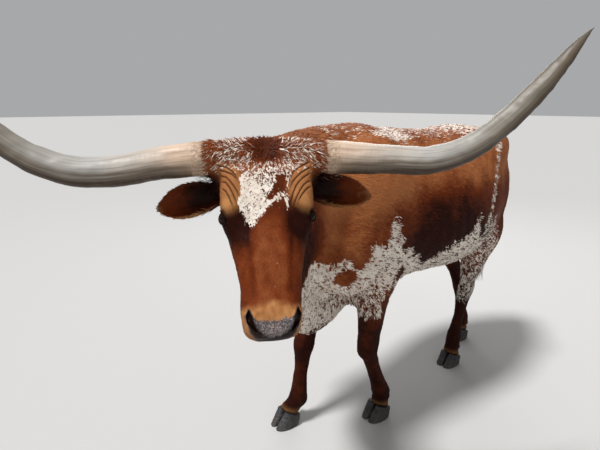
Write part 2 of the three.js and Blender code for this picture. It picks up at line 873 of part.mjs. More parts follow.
function addHead() {
  const faceField = (x, y, z) => {
    const p = new THREE.Vector3(x, y, z).applyMatrix4(headMatrix);
    return headAndNeck(p.x, p.y, p.z);
  };
  const plane = planes.head;
  const point = new THREE.Vector3(...plane[0]).applyMatrix4(headInverse).toArray();
  const normal = new THREE.Vector3(...plane[1]).transformDirection(headInverse).toArray();
  const hornFace = horn.base[0];
  let head = cutTo(
    solidOf(polygonise(faceField, [[-236, -60, -520], [236, 400, 60]], cells.head)),
    [point, normal],
    [[hornFace, 0, 0], [-1, 0, 0]],
    [[-hornFace, 0, 0], [1, 0, 0]],
  );
  bothSides.forEach(([word, sign]) => {
    const centre = mirrorRow(eye.at, sign);
    head = lidSolids(centre, sign).reduce((sum, lid) => sum.add(lid), head);
    const socket = new THREE.SphereGeometry(eye.radius + gap, eye.around, eye.over).translate(...centre);
    head = head.subtract(solidOf(welded(socket)));
    const ball = new THREE.SphereGeometry(eye.radius, eye.around, eye.over).translate(...centre);
    addMesh(headGroup, `eye_${word}`, welded(ball), material.eye);
    const hole = nostril.line.map((row) => mirrorRow(row, sign));
    head = head.subtract(solidOf(sweep(hole, 8, 2, forward)));
  });
  const lips = mouth.line.map((row) => [...row, mouth.depth, mouth.thickness]);
  head = largest(head.subtract(solidOf(sweep(lips, 6, 2, [0, 0.45, 1]))));
  addMesh(headGroup, "head", geometryFrom(head), material.coat);
  return head;
}

function addHorn(head, word, sign) {
  const tilted = new THREE.Matrix4().makeRotationX(headPose.tilt);
  const [bx, by, bz] = horn.base;
  const line = horn[word].map(([out, back, rise, radius]) => {
    const p = new THREE.Vector3(out * sign, back, rise).applyMatrix4(tilted);
    return [p.x + bx * sign, p.y + by, p.z + bz, radius];
  });
  const [x, y, z, radius] = line[0];
  const rooted = [[x - horn.root * sign, y, z, radius], ...line];
  const whole = solidOf(sweep(rooted, horn.sides, horn.perSpan, forward));
  const cut = cutTo(whole, [[bx * sign, 0, 0], [sign, 0, 0]]);
  addMesh(headGroup, `horn_${word}`, geometryFrom(cut), material.horn);
}

// A cupped leaf: each section is a crescent, open to the front.
function earGeometry(word) {
  const stations = resample(ear[word], ear.perSpan);
  const points = stations.map((row) => new THREE.Vector3(...row));
  const rings = stations.map((row, index) => {
    const before = points[Math.max(index - 1, 0)];
    const after = points[Math.min(index + 1, points.length - 1)];
    const along = after.clone().sub(before).normalize();
    const front = new THREE.Vector3(...ear.faces);
    front.addScaledVector(along, -front.dot(along)).normalize();
    const across = new THREE.Vector3().crossVectors(along, front);
    const open = THREE.MathUtils.degToRad(row[4]);
    const radius = row[3] / Math.sin(Math.min(open, Math.PI / 2));
    const thickness = Math.min(ear.thickness, radius * 0.5);
    const edge = (angle, r) => points[index].clone()
      .addScaledVector(across, r * Math.sin(angle))
      .addScaledVector(front, radius - r * Math.cos(angle));
    const ring = [];
    for (let n = 0; n <= ear.across; n += 1) ring.push(edge(open * ((2 * n) / ear.across - 1), radius));
    for (let n = ear.across; n >= 0; n -= 1) {
      ring.push(edge(ear.innerArc * open * ((2 * n) / ear.across - 1), radius - thickness));
    }
    return ring;
  });
  return loft(rings);
}

function addEar(head, word, sign) {
  const whole = solidOf(earGeometry(word));
  const geometry = geometryFrom(largest(whole.subtract(head)));
  geometry.translate(gap * sign, 0, 0);
  addMesh(headGroup, `ear_${word}`, geometry, material.coat);
}

function addTail(torso) {
  const whole = solidOf(sweep(tail.line, tail.sides, tail.perSpan, [1, 0, 0]));
  const cut = cutTo(whole.subtract(torso), [[0, 0, tailSwitch.top[2]], [0, 0, 1]]);
  const geometry = geometryFrom(cut);
  geometry.translate(0, gap, gap / 3);
  addMesh(longhorn, "tail", geometry, material.coat);
}

// A small repeatable source of random numbers.
function randomFrom(seed) {
  let state = seed;
  return () => {
    state = (state * 1664525 + 1013904223) % 4294967296;
    return state / 4294967296;
  };
}

function addSwitch() {
  const { top: [x, y, z], core, locks, length, width, thickness, seed } = tailSwitch;
  const { bow, rooted, tiers, tierDrop, wave } = tailSwitch;
  const random = randomFrom(seed);
  let whole = solidOf(sweep([
    [x, y, z + 20, core.radius, core.radius],
    [x, y, z - core.drop / 2, core.radius, core.radius],
    [x, y, z - core.drop, core.radius * 0.4, core.radius * 0.4],
  ], 8, 1, [1, 0, 0]));
  for (let n = 0; n < locks; n += 1) {
    const angle = (n / locks) * Math.PI * 2 + random() * 0.3;
    const out = [Math.cos(angle), Math.sin(angle)];
    const long = THREE.MathUtils.lerp(...length, random());
    const start = z - rooted - (n % tiers) * tierDrop;
    const sway = (random() - 0.5) * wave;
    const line = [0, 0.2, 0.45, 0.7, 0.9, 1].map((t) => {
      const outwards = Math.sin(Math.PI * Math.min(t * 1.15, 1)) * bow + rooted;
      const slim = t < 0.1 ? 0.7 : Math.max(1 - t ** 2.2, 0.07);
      const turn = sway * Math.sin(t * 5);
      return [
        x + out[0] * outwards - out[1] * turn,
        y + out[1] * outwards + out[0] * turn,
        start - t * long,
        width * slim,
        thickness * slim,
      ];
    });
    whole = whole.add(solidOf(sweep(line, 5, 1, [out[0], out[1], 0])));
  }
  const hung = cutTo(whole, [[0, 0, z], [0, 0, -1]]);
  addMesh(longhorn, "tail_switch", geometryFrom(hung), material.coat);
}

const torso = addTorso();
addNeck();
const head = addHead();
bothSides.forEach(([word, sign]) => {
  addHorn(head, word, sign);
  addEar(head, word, sign);
});
legs.forEach((leg) => {
  addLeg(leg);
  addClaws(leg);
});
addTail(torso);
addSwitch();

// The origin moves to the floor below the middle of the whole animal's box.
const whole = new THREE.Box3().setFromObject(longhorn, true);
const middle = whole.getCenter(new THREE.Vector3());
longhorn.position.set(-middle.x, -middle.y, -whole.min.z);

export default longhorn;
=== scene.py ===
# Looks of a life-size Texas longhorn steer: skin, coat, horns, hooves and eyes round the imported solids.
import math

import bpy
import numpy as np
from mathutils import Matrix, Vector


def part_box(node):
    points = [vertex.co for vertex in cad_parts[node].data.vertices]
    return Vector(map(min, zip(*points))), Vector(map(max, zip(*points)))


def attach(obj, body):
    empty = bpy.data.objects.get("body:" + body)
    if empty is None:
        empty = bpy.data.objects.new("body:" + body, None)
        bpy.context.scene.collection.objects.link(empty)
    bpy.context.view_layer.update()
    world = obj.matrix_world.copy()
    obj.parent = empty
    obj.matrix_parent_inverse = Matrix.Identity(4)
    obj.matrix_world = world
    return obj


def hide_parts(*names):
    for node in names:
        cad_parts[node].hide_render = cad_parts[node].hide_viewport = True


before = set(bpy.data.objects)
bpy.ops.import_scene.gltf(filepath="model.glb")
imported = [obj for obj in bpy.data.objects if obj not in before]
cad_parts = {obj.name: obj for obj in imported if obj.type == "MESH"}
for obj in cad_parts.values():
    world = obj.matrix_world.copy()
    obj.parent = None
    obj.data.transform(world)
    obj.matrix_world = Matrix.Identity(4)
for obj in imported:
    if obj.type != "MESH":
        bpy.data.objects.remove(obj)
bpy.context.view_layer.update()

# The head's own frame, as the solids have it: origin at the poll, -Y out of the face, +Z up along it.
headPose = {"turn": 58.8, "tilt": 27.0, "at": (0.419, -1.175, 1.405), "eye": (0.100, 0.046, -0.183)}
levelTurn = Matrix.Rotation(math.radians(headPose["turn"]), 3, "Z")
headTurn = levelTurn @ Matrix.Rotation(math.radians(-headPose["tilt"]), 3, "X")
leftEyeLow, leftEyeHigh = [Vector(corner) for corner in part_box("eye_left")]
headPlace = (leftEyeLow + leftEyeHigh) / 2 - headTurn @ Vector(headPose["eye"])
bodyPlace = headPlace - Vector(headPose["at"])  # the floor point below the barrel, which sizes are given from
headAxes = np.array(headTurn)
levelAxes = np.array(levelTurn)


def toHead(points):
    return (points - np.array(headPlace)) @ headAxes


def fromHead(points):
    return points @ headAxes.T + np.array(headPlace)


def toBody(points):
    return points - np.array(bodyPlace)


# Camera, light and floor.
view = {
    "lens": 27.3,
    "eyePlace": (1.3674, -1.8437, 1.5),
    "heading": 50.5,  # degrees from the body's line, to its right
    "down": 14.95,
}


def aimed(way):
    return Vector(way).to_track_quat("-Z", "Y").to_euler()


def addCamera():
    heading = math.radians(view["heading"])
    down = math.radians(view["down"])
    level = math.cos(down)
    look = (-math.sin(heading) * level, math.cos(heading) * level, -math.sin(down))
    bpy.ops.object.camera_add(location=Vector(view["eyePlace"]) + bodyPlace, rotation=aimed(look))
    camera = bpy.context.object
    camera.data.lens = view["lens"]
    camera.data.sensor_width = 36
    camera.data.clip_end = 200
    bpy.context.scene.camera = camera


studio = {
    "floorHalf": 60.0,
    "floorColor": (0.43, 0.425, 0.415),
    "floorRoughness": 0.9,
    "worldColor": (0.97, 0.98, 1.0),
    "worldStrength": 0.40,
    "keyWay": (0.06, 0.42, -0.90),
    "keyStrength": 4.1,
    "keySoftness": 11,  # degrees
    # name: place, aim, size, watts
    "fill": ((4.2, -2.4, 2.6), (0.0, -0.2, 0.9), 2.5, 30),
    "back": ((-2.6, 3.2, 3.6), (0.0, 0.2, 1.1), 2.5, 60),
}


def addStudio():
    bpy.ops.mesh.primitive_plane_add(size=studio["floorHalf"] * 2, location=(0, 0, -0.0005))
    floor = bpy.context.object
    floor.name = "floor"
    paint = bpy.data.materials.new("floorPaint")
    paint.use_nodes = True
    shader = paint.node_tree.nodes["Principled BSDF"]
    shader.inputs["Base Color"].default_value = (*studio["floorColor"], 1)
    shader.inputs["Roughness"].default_value = studio["floorRoughness"]
    floor.data.materials.append(paint)
    world = bpy.data.worlds.new("studioLight")
    world.use_nodes = True
    backdrop = world.node_tree.nodes["Background"]
    backdrop.inputs["Color"].default_value = (*studio["worldColor"], 1)
    backdrop.inputs["Strength"].default_value = studio["worldStrength"]
    bpy.context.scene.world = world
    bpy.context.scene.view_settings.view_transform = "Standard"
    bpy.ops.object.light_add(type="SUN", location=(0, 0, 5), rotation=aimed(studio["keyWay"]))
    bpy.context.object.name = "keyLight"
    bpy.context.object.data.energy = studio["keyStrength"]
    bpy.context.object.data.angle = math.radians(studio["keySoftness"])
    for name in ("fill", "back"):
        place, aim, size, watts = studio[name]
        bpy.ops.object.light_add(type="AREA", location=place, rotation=aimed(Vector(aim) - Vector(place)))
        lamp = bpy.context.object
        lamp.name = name + "Light"
        lamp.data.size = size
        lamp.data.energy = watts


# Small helpers on arrays of points.
def ease(value, start, end):
    t = np.clip((value - start) / (end - start), 0, 1)
    return t * t * (3 - 2 * t)


def fade(value, start, end):
    return 1 - ease(value, start, end)


def between(first, second, share):
    return first * (1 - share) + np.asarray(second) * share


def unit(vectors):
    return vectors / np.maximum(np.linalg.norm(vectors, axis=-1, keepdims=True), 1e-9)


def bump(value, middle, width):
    return np.exp(-((value - middle) / width) ** 2)


def waves(value, apart):
    return np.sin(value * 2 * math.pi / apart)


def softNoise(points, size, seed):
    # smooth ups and downs about as wide as size, mostly between -1 and 1
    draw = np.random.default_rng(seed)
    total = np.zeros(len(points))
    for _ in range(7):
        way = unit(draw.normal(size=3))
        bend = unit(draw.normal(size=3))
        reach = 2 * math.pi / size * draw.uniform(0.6, 1.5)
        swing = 1.3 * np.sin(points @ bend * reach * 0.7 + draw.uniform(0, 6.3))
        total += np.sin(points @ way * reach + draw.uniform(0, 6.3) + swing)
    return total / 3.4


def outlineDistance(points, outline):
    # distance to a closed flat outline, positive inside it
    corners = np.array(outline, float)
    inside = np.zeros(len(points), bool)
    nearest = np.full(len(points), 1e9)
    for a, b in zip(corners, np.roll(corners, -1, axis=0)):
        edge = b - a
        t = np.clip(((points - a) @ edge) / (edge @ edge), 0, 1)
        nearest = np.minimum(nearest, np.linalg.norm(points - a - t[:, None] * edge, axis=1))
        if abs(edge[1]) > 1e-9:
            crossing = a[0] + (points[:, 1] - a[1]) * edge[0] / edge[1]
            inside ^= ((a[1] > points[:, 1]) != (b[1] > points[:, 1])) & (points[:, 0] < crossing)
    return np.where(inside, nearest, -nearest)


def stopsAlong(line):
    # how far along a chain of points each of them lies
    return np.concatenate([[0], np.cumsum(np.linalg.norm(np.diff(line, axis=0), axis=1))])


def lineDistance(points, line):
    # distance to a chain of points, and how far along it the nearest place lies
    corners = np.array(line, float)
    nearest = np.full(len(points), 1e9)
    along = np.zeros(len(points))
    for a, b, length in zip(corners[:-1], corners[1:], stopsAlong(corners)):
        edge = b - a
        t = np.clip(((points - a) @ edge) / (edge @ edge), 0, 1)
        distance = np.linalg.norm(points - a - t[:, None] * edge, axis=1)
        closer = distance < nearest
        nearest = np.where(closer, distance, nearest)
        along = np.where(closer, length + t * np.linalg.norm(edge), along)
    return nearest, along


def mirrored(points):
    return np.abs(points) * np.array([1, 0, 0]) + points * np.array([0, 1, 1])


def readVectors(items, name):
    values = np.empty(len(items) * 3, np.float32)
    items.foreach_get(name, values)
    return values.reshape(-1, 3).astype(float)


def vertexPlaces(piece):
    return readVectors(piece.data.vertices, "co")


def vertexNormals(piece):
    return readVectors(piece.data.vertex_normals, "vector")


def faceCentres(piece):
    return readVectors(piece.data.polygons, "center")


def movePlaces(piece, places):
    piece.data.vertices.foreach_set("co", places.astype(np.float32).ravel())
    piece.data.update()


def store(piece, name, values):
    # one number or one vector for each point
    values = np.asarray(values, np.float32)
    kind, field = ("FLOAT", "value") if values.ndim == 1 else ("FLOAT_VECTOR", "vector")
    layer = piece.data.attributes.new(name, kind, "POINT")
    layer.data.foreach_set(field, values.ravel())


# Small helpers on objects.
def selectOnly(*pieces):
    bpy.ops.object.select_all(action="DESELECT")
    for piece in pieces:
        piece.select_set(True)
    bpy.context.view_layer.objects.active = pieces[0]


def joined(pieces, title):
    selectOnly(*pieces)
    if len(pieces) > 1:
        bpy.ops.object.join()
    piece = bpy.context.view_layer.objects.active
    piece.name = title
    return piece


def applyModifier(piece, kind, **settings):
    selectOnly(piece)
    modifier = piece.modifiers.new(kind.lower(), kind)
    for name, value in settings.items():
        setattr(modifier, name, value)
    bpy.ops.object.modifier_apply(modifier=modifier.name)


def remeshedCopy(nodes, title, voxel, rounds=0):
    # the named solids as one closed surface of even faces
    copies = []
    for node in nodes:
        copies.append(bpy.data.objects.new(title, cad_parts[node].data.copy()))
        bpy.context.scene.collection.objects.link(copies[-1])
    piece = joined(copies, title)
    piece.data.materials.clear()
    bpy.ops.object.mode_set(mode="EDIT")
    bpy.ops.mesh.select_all(action="SELECT")
    bpy.ops.mesh.remove_doubles(threshold=0.00005)
    bpy.ops.object.mode_set(mode="OBJECT")
    applyModifier(piece, "REMESH", mode="VOXEL", voxel_size=voxel)
    if rounds:
        applyModifier(piece, "SMOOTH", factor=0.5, iterations=rounds)
    return piece


def smoothWhere(piece, weights, rounds):
    # smooths each point by its weight, in steps of a sixteenth
    group = piece.vertex_groups.new(name="smoothing")
    levels = np.round(weights * 16).astype(int)
    for level in np.unique(levels[levels > 0]):
        group.add(np.nonzero(levels == level)[0].tolist(), level / 16, "REPLACE")
    applyModifier(piece, "SMOOTH", factor=0.5, iterations=rounds, vertex_group="smoothing")
    piece.vertex_groups.clear()


def refine(piece, chosen):
    # splits each chosen face in four
    selectOnly(piece)
    bpy.ops.object.mode_set(mode="EDIT")
    bpy.ops.mesh.select_mode(type="FACE")
    bpy.ops.mesh.select_all(action="DESELECT")
    bpy.ops.object.mode_set(mode="OBJECT")
    piece.data.polygons.foreach_set("select", chosen)
    bpy.ops.object.mode_set(mode="EDIT")
    bpy.ops.mesh.subdivide(number_cuts=1, smoothness=0)
    bpy.ops.object.mode_set(mode="OBJECT")


def finishPiece(piece, paint, nodes=()):
    piece.data.materials.append(paint)
    piece.data.polygons.foreach_set("use_smooth", np.ones(len(piece.data.polygons), bool))
    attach(piece, "root")
    if nodes:
        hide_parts(*nodes)


# Shader graphs: one class for values, one method for every node.
class Value:
    def __init__(self, graph, socket):
        self.graph = graph
        self.socket = socket

    def maths(self, operation, first, second):
        return self.graph.value("ShaderNodeMath", {"operation": operation}, {0: first, 1: second})

    def __add__(self, other):
        return self.maths("ADD", self, other)

    def __radd__(self, other):
        return self.maths("ADD", other, self)

    def __sub__(self, other):
        return self.maths("SUBTRACT", self, other)

    def __rsub__(self, other):
        return self.maths("SUBTRACT", other, self)

    def __mul__(self, other):
        return self.maths("MULTIPLY", self, other)

    def __rmul__(self, other):
        return self.maths("MULTIPLY", other, self)

    def clamped(self):
        return self.graph.value("ShaderNodeClamp", {}, {0: self})


def setStops(ramp, stops):
    for _ in stops[2:]:
        ramp.elements.new(0.5)
    for element, (position, color) in zip(ramp.elements, stops):
        element.position = position
        element.color = (*color, 1)


class Graph:
    def __init__(self, name, roughness, specular):
        self.material = bpy.data.materials.new(name)
        self.material.use_nodes = True
        self.tree = self.material.node_tree
        self.shader = self.tree.nodes["Principled BSDF"]
        self.shader.inputs["Roughness"].default_value = roughness
        self.shader.inputs["Specular IOR Level"].default_value = specular

    def value(self, kind, settings, inputs, output=0):
        # makes any node, its settings first, and gives back one of its outputs
        node = self.tree.nodes.new(kind)
        for name, setting in settings.items():
            if name == "stops":
                setStops(node.color_ramp, setting)
            else:
                setattr(node, name, setting)
        for name, source in inputs.items():
            self.feed(node.inputs[name], source)
        return Value(self, node.outputs[output])

    def feed(self, socket, source):
        if isinstance(source, Value):
            self.tree.links.new(source.socket, socket)
        else:
            socket.default_value = source

    def attribute(self, name, output="Fac"):
        return self.value("ShaderNodeAttribute", {"attribute_name": name}, {}, output)

    def objectPlace(self):
        return self.value("ShaderNodeTexCoord", {}, {}, "Object")

    def stretched(self, place, scale):
        return self.value("ShaderNodeMapping", {}, {"Vector": place, "Scale": scale})

    def noise(self, place, scale, detail=2.0, roughness=0.5):
        inputs = {"Vector": place, "Scale": scale, "Detail": detail, "Roughness": roughness}
        return self.value("ShaderNodeTexNoise", {}, inputs, "Fac")

    def cells(self, place, scale):
        return self.value("ShaderNodeTexVoronoi", {}, {"Vector": place, "Scale": scale}, "Distance")

    def length(self, place):
        return self.value("ShaderNodeVectorMath", {"operation": "LENGTH"}, {0: place}, "Value")

    def ramp(self, value, stops):
        return self.value("ShaderNodeValToRGB", {"stops": stops}, {0: value})

    def mix(self, amount, first, second):
        colors = [(*color, 1) if isinstance(color, tuple) else color for color in (first, second)]
        settings = {"data_type": "RGBA", "clamp_factor": True}
        return self.value("ShaderNodeMix", settings, {0: amount, 6: colors[0], 7: colors[1]}, 2)

    def bump(self, height, distance, strength):
        inputs = {"Height": height, "Distance": distance, "Strength": strength}
        self.feed(self.shader.inputs["Normal"], self.value("ShaderNodeBump", {}, inputs))

    def color(self, value):
        self.feed(self.shader.inputs["Base Color"], value)

    def rough(self, value):
        self.feed(self.shader.inputs["Roughness"], value)


# Outlines of the coat's markings. Those of the body are (back, up) from the body's floor point, and
# those of the face are (out, up) from the poll.
patches = {
    "chest": [(-1.00, 0.80), (-0.90, 0.87), (-0.86, 0.895), (-0.822, 0.944), (-0.752, 0.920),
              (-0.703, 0.937), (-0.667, 0.928), (-0.654, 0.896), (-0.61, 0.900), (-0.584, 0.927),
              (-0.577, 0.961), (-0.549, 0.970), (-0.51, 0.960), (-0.478, 0.943), (-0.470, 1.03),
              (-0.462, 1.09), (-0.44, 1.06), (-0.419, 1.052), (-0.405, 0.996), (-0.385, 0.927),
              (-0.314, 0.909), (-0.279, 0.864), (-0.196, 0.812), (0.10, 0.775), (0.30, 0.78),
              (0.30, 0.64), (-0.36, 0.64), (-0.405, 0.78), (-0.44, 0.72), (-0.425, 0.605),
              (-0.60, 0.605), (-1.00, 0.605)],
    "brisket": [(-0.82, 0.66), (-0.52, 0.66), (-0.52, 0.585), (-0.82, 0.585)],
    "flank": [(-0.24, 0.805), (-0.109, 0.876), (-0.038, 0.898), (0.024, 0.935), (0.06, 0.965),
              (0.104, 1.018), (0.118, 0.98), (0.115, 0.92), (0.16, 0.86), (0.26, 0.84), (0.22, 0.74),
              (-0.20, 0.74)],
    "thigh": [(0.14, 0.93), (0.22, 1.00), (0.30, 0.98), (0.42, 0.86), (0.50, 0.66), (0.53, 0.43),
              (0.44, 0.37), (0.38, 0.42), (0.36, 0.60), (0.28, 0.74), (0.15, 0.78)],
    "blaze": [(-0.046, -0.066), (-0.070, -0.082), (-0.069, -0.120), (-0.079, -0.153), (-0.067, -0.181),
              (-0.054, -0.207), (-0.035, -0.217), (-0.024, -0.192), (-0.012, -0.182), (0.000, -0.165),
              (0.026, -0.150), (0.038, -0.143), (0.044, -0.172), (0.054, -0.168), (0.050, -0.130),
              (0.062, -0.090), (0.086, -0.058), (0.060, -0.050), (0.00, -0.058)],
    "wedge": [(0.024, -0.088), (0.044, -0.080), (0.048, -0.118), (0.026, -0.134), (0.002, -0.150),
              (-0.006, -0.140), (0.012, -0.118)],
    "nosePad": [(-0.050, -0.433), (-0.032, -0.437), (-0.011, -0.438), (0.018, -0.436), (0.043, -0.432),
                (0.050, -0.438), (0.043, -0.450), (0.033, -0.460), (0.020, -0.471), (0.0, -0.476),
                (-0.020, -0.473), (-0.035, -0.461), (-0.044, -0.449)],
    "noseRim": [(-0.058, -0.410), (-0.050, -0.424), (-0.042, -0.436), (0.0, -0.442), (0.042, -0.436),
                (0.050, -0.424), (0.058, -0.410), (0.066, -0.425), (0.064, -0.442), (0.054, -0.462),
                (0.044, -0.480), (0.020, -0.496), (-0.020, -0.496), (-0.044, -0.480), (-0.054, -0.462),
                (-0.064, -0.442), (-0.066, -0.425)],
    # half of a pair, the same on both sides of the face
    "brow": [(0.113, -0.052), (0.090, -0.058), (0.070, -0.070), (0.058, -0.088), (0.051, -0.115),
             (0.053, -0.136), (0.068, -0.158), (0.088, -0.173), (0.112, -0.166), (0.122, -0.125)],
}
hipStrip = [(0.352, 1.37), (0.330, 1.314), (0.340, 1.256), (0.309, 1.172), (0.253, 1.080),
            (0.223, 1.041), (0.178, 0.947)]
whorl = (0.0, -0.012)
# strength of a marking, and where its soft edge starts and ends, in metres inside its outline
markings = {
    "chest": (0.615, -0.006, 0.008), "brisket": (0.655, -0.006, 0.010), "flank": (0.60, -0.008, 0.010),
    "thigh": (0.46, -0.02, 0.03), "blaze": (1.0, -0.003, 0.006), "wedge": (0.9, -0.003, 0.004),
    "noseRim": (1.0, -0.004, 0.003),
}
# soft round marks, some of them painted highlights and painted shade, and forms with a depth in metres:
# strength, middle, radii and softness
softMarks = {
    "roan": (0.24, (0.2, -0.53, 0.70), (0.3, 0.11, 0.10), 0.5),
    "redSpot": (1.0, (0.246, -0.687, 0.864), (0.10, 0.040, 0.034), 0.35),
    "redSpeck": (1.0, (0.20, -0.36, 0.80), (0.1, 0.03, 0.03), 0.35),
    # a painted highlight on the shoulder, and painted shade over the barrel and lower down its side
    "shoulderHighlight": (0.28, (0.24, -0.56, 1.12), (0.26, 0.26, 0.26), 0.7),
    "barrelShade": (-0.36, (0.25, -0.17, 0.98), (0.3, 0.32, 0.19), 0.7),
    "lowBarrelShade": (-0.34, (0.25, -0.06, 0.87), (0.3, 0.34, 0.10), 0.8),
    "throatCrease": (0.0045, (0.10, -0.80, 0.76), (0.22, 0.26, 0.20), 0.5),
    "rib": (0.0022, (0, 0.02, 1.02), (0.6, 0.30, 0.20), 0.4),
    "loinFold": (0.003, (0.0, 0.30, 1.16), (0.6, 0.15, 0.18), 0.5),
    # the rest are on the head, from the poll; the under-eye and temple marks are painted shade, the cheek
    # mark a painted highlight and the socket mark painted shade
    "underEyeShade": (0.12, (0.080, 0.02, -0.214), (0.024, 0.05, 0.034), 0.9),
    "temple": (0.84, (0.132, 0.085, -0.084), (0.028, 0.07, 0.036), 0.5),
    "browEnd": (0.9, (0.098, 0.01, -0.150), (0.022, 0.04, 0.020), 0.9),
    "paleLip": (1.0, (0.062, 0.030, -0.450), (0.012, 0.03, 0.022), 0.6),
    "cheek": (0.16, (0.072, 0.06, -0.30), (0.040, 0.09, 0.09), 0.6),
    "socket": (-0.34, (0.076, 0.02, -0.215), (0.034, 0.06, 0.050), 0.8),
    "padMiddle": (0.65, (0.004, 0.02, -0.460), (0.030, 0.06, 0.014), 0.7),
    "eyeHollow": (-0.004, (0.066, 0.01, -0.212), (0.022, 0.04, 0.026), 0.7),
    "earRoot": (0.016, (0.108, 0.095, -0.076), (0.035, 0.045, 0.030), 0.7),
    "templeHair": (1.0, (0.118, 0.09, -0.078), (0.030, 0.045, 0.026), 0.5),
}


def patch(flat, name):
    strength, start, end = markings[name]
    return strength * ease(outlineDistance(flat, patches[name]), start, end)


def browPatch(q, start, end):
    return ease(outlineDistance(mirrored(q)[:, [0, 2]], patches["brow"]), start, end)


def roundMark(points, name):
    strength, middle, radii, soft = softMarks[name]
    far = np.linalg.norm((points - np.array(middle)) / np.array(radii), axis=1)
    return strength * fade(far, 1 - soft, 1 + soft)


eye = {
    "radius": 0.020,
    "gaze": (0.80, -0.59, -0.08),
    "innerCorner": (0, -0.42, -0.91),
    "reach": 1.05,
    "upper": 0.62,
    "lower": 0.50,
    "lid": 0.0036,
    "behind": 0.0150,  # how far from the middle of the ball the skin behind it lies
    "bulge": 0.0022,  # of the clear front of the ball
}
brow = {
    "width": 0.0021,
    "deep": 0.0030,
    # each fold from the temple in and down, as (out, up) in millimetres
    "left": [
        [(110, -52), (97, -57), (81, -65), (68, -75), (59, -90), (54, -107)],
        [(112, -64), (101, -69), (87, -79), (72, -93), (62, -106), (57, -122)],
        [(110, -78), (100, -85), (89, -94), (78, -105), (70, -117), (64, -130), (58, -147), (53, -164)],
        [(110, -97), (101, -103), (91, -112), (82, -124), (75, -136), (69, -148), (62, -168)],
        [(110, -113), (103, -118), (95, -125), (85, -137), (77, -149), (73, -162)],
    ],
    "right": [
        [(121, -57), (109, -58), (98, -61), (86, -70), (76, -84), (70, -98)],
        [(117, -66), (102, -71), (86, -79), (75, -90), (67, -106)],
        [(114, -79), (101, -85), (91, -97), (82, -111), (74, -125), (68, -142)],
        [(112, -94), (102, -99), (92, -115), (85, -130), (79, -147), (75, -160)],
        [(111, -113), (102, -123), (95, -138), (89, -153), (84, -170)],
    ],
}
nostril = {
    "line": [(0.058, -0.413), (0.0585, -0.424), (0.056, -0.437), (0.049, -0.450), (0.041, -0.462)],
    "widths": (0.0025, 0.0070, 0.0080, 0.0055, 0.0020),
    "deep": 0.016,
}
# the mouth, seen from the side: back and up from the poll
mouthLine = [(0.083, -0.500), (0.084, -0.482), (0.087, -0.469), (0.090, -0.434), (0.094, -0.392),
             (0.098, -0.350)]
# the plane where the head meets the neck
headPlane = {"point": (0.318, -1.112, 1.240), "normal": (0.8, -0.58, 0.22)}
ears = {
    "voxel": 0.0026,
    "sunk": 0.020,
    "left": (0.084, 0.104, -0.092),
    "right": (-0.084, 0.104, -0.095),
    # out, half width, middle height of the left and of the right ear
    "rows": [(0.084, 0.022, -0.092, -0.095), (0.118, 0.030, -0.095, -0.102), (0.158, 0.042, -0.098, -0.110),
             (0.203, 0.046, -0.102, -0.117), (0.240, 0.040, -0.106, -0.124), (0.272, 0.026, -0.110, -0.129),
             (0.290, 0.008, -0.112, -0.132)],
    # out and back of the ear's middle line
    "line": [(0.084, 0.104), (0.118, 0.112), (0.16, 0.118), (0.205, 0.122), (0.25, 0.126), (0.297, 0.131)],
}


def onHead(points):
    ahead = (toBody(points) - np.array(headPlane["point"])) @ unit(np.array(headPlane["normal"]))
    return ease(ahead, -0.02, 0.02)


def eyeAxes():
    # ahead, along the opening of the lids and across it to the upper lid
    gaze = unit(np.array(eye["gaze"]))
    corner = np.array(eye["innerCorner"])
    corner = unit(corner - np.dot(corner, gaze) * gaze)
    above = np.cross(gaze, corner)
    return gaze, corner, above * -np.sign(above[1])


def eyeReach(q):
    # distance outside the opening of the lids, negative inside it, and distance from the ball's middle
    gaze, corner, above = eyeAxes()
    r = mirrored(q) - np.array(headPose["eye"])
    far = np.linalg.norm(r, axis=1)
    ahead = np.maximum(r @ gaze, 0.25 * far)
    along = np.abs(r @ corner) / ahead
    high = (r @ above) / ahead
    opening = np.clip(1 - (along / eye["reach"]) ** 2, 0, 1)
    gapEdge = np.maximum(high - eye["upper"] * opening, -eye["lower"] * opening - high)
    past = np.hypot(along - eye["reach"], high)
    outside = np.where(along < eye["reach"], gapEdge, past) * eye["radius"]
    outside = np.where(r @ gaze < 0.25 * far, 0.05, outside)
    return outside, far, r


def browFold(q):
    # 1 in the bottom of a fold between horn and eye, 0 on the smooth skin
    out, back, up = q.T
    fold = np.zeros(len(q))
    near = (np.abs(out) > 0.04) & (back < 0.075) & (up < -0.03) & (up > -0.20)
    for word in ("left", "right"):
        chosen = near & ((out > 0) == (word == "left"))
        flat = mirrored(q[chosen])[:, [0, 2]]
        here = np.zeros(len(flat))
        for line in brow[word]:
            corners = np.array(line) / 1000
            distance, along = lineDistance(flat, corners)
            length = stopsAlong(corners)[-1]
            taper = ease(along, -0.002, 0.006) * (1 - 0.75 * ease(along, length - 0.022, length))
            here = np.maximum(here, bump(distance, 0, brow["width"]) * taper)
        fold[chosen] = here
    return fold


def lipReach(q):
    return lineDistance(q[:, 1:], mouthLine)[0]


def nostrilReach(q):
    # distance outside a nostril, negative inside it
    distance, along = lineDistance(mirrored(q)[:, [0, 2]], nostril["line"])
    outside = distance - np.interp(along, stopsAlong(nostril["line"]), nostril["widths"])
    return np.where(q[:, 1] < 0.05, outside, 0.05)


def earPart(q):
    # 1 on the free part of an ear
    out, back, up = mirrored(q).T
    return ease(out, 0.118, 0.135) * ease(back, 0.05, 0.075) * (up < -0.03) * (out < 0.32)


def earHollow(q):
    # the shaded inner side of each ear
    out, back, up = mirrored(q).T
    middle = np.interp(out, *np.array(ears["line"]).T)
    ear = ease(out, 0.112, 0.130) * fade(out, 0.235, 0.285) * (up < -0.03) * (out < 0.31)
    return ear * fade(back, middle - 0.012, middle + 0.004) * ease(back, 0.05, 0.07)


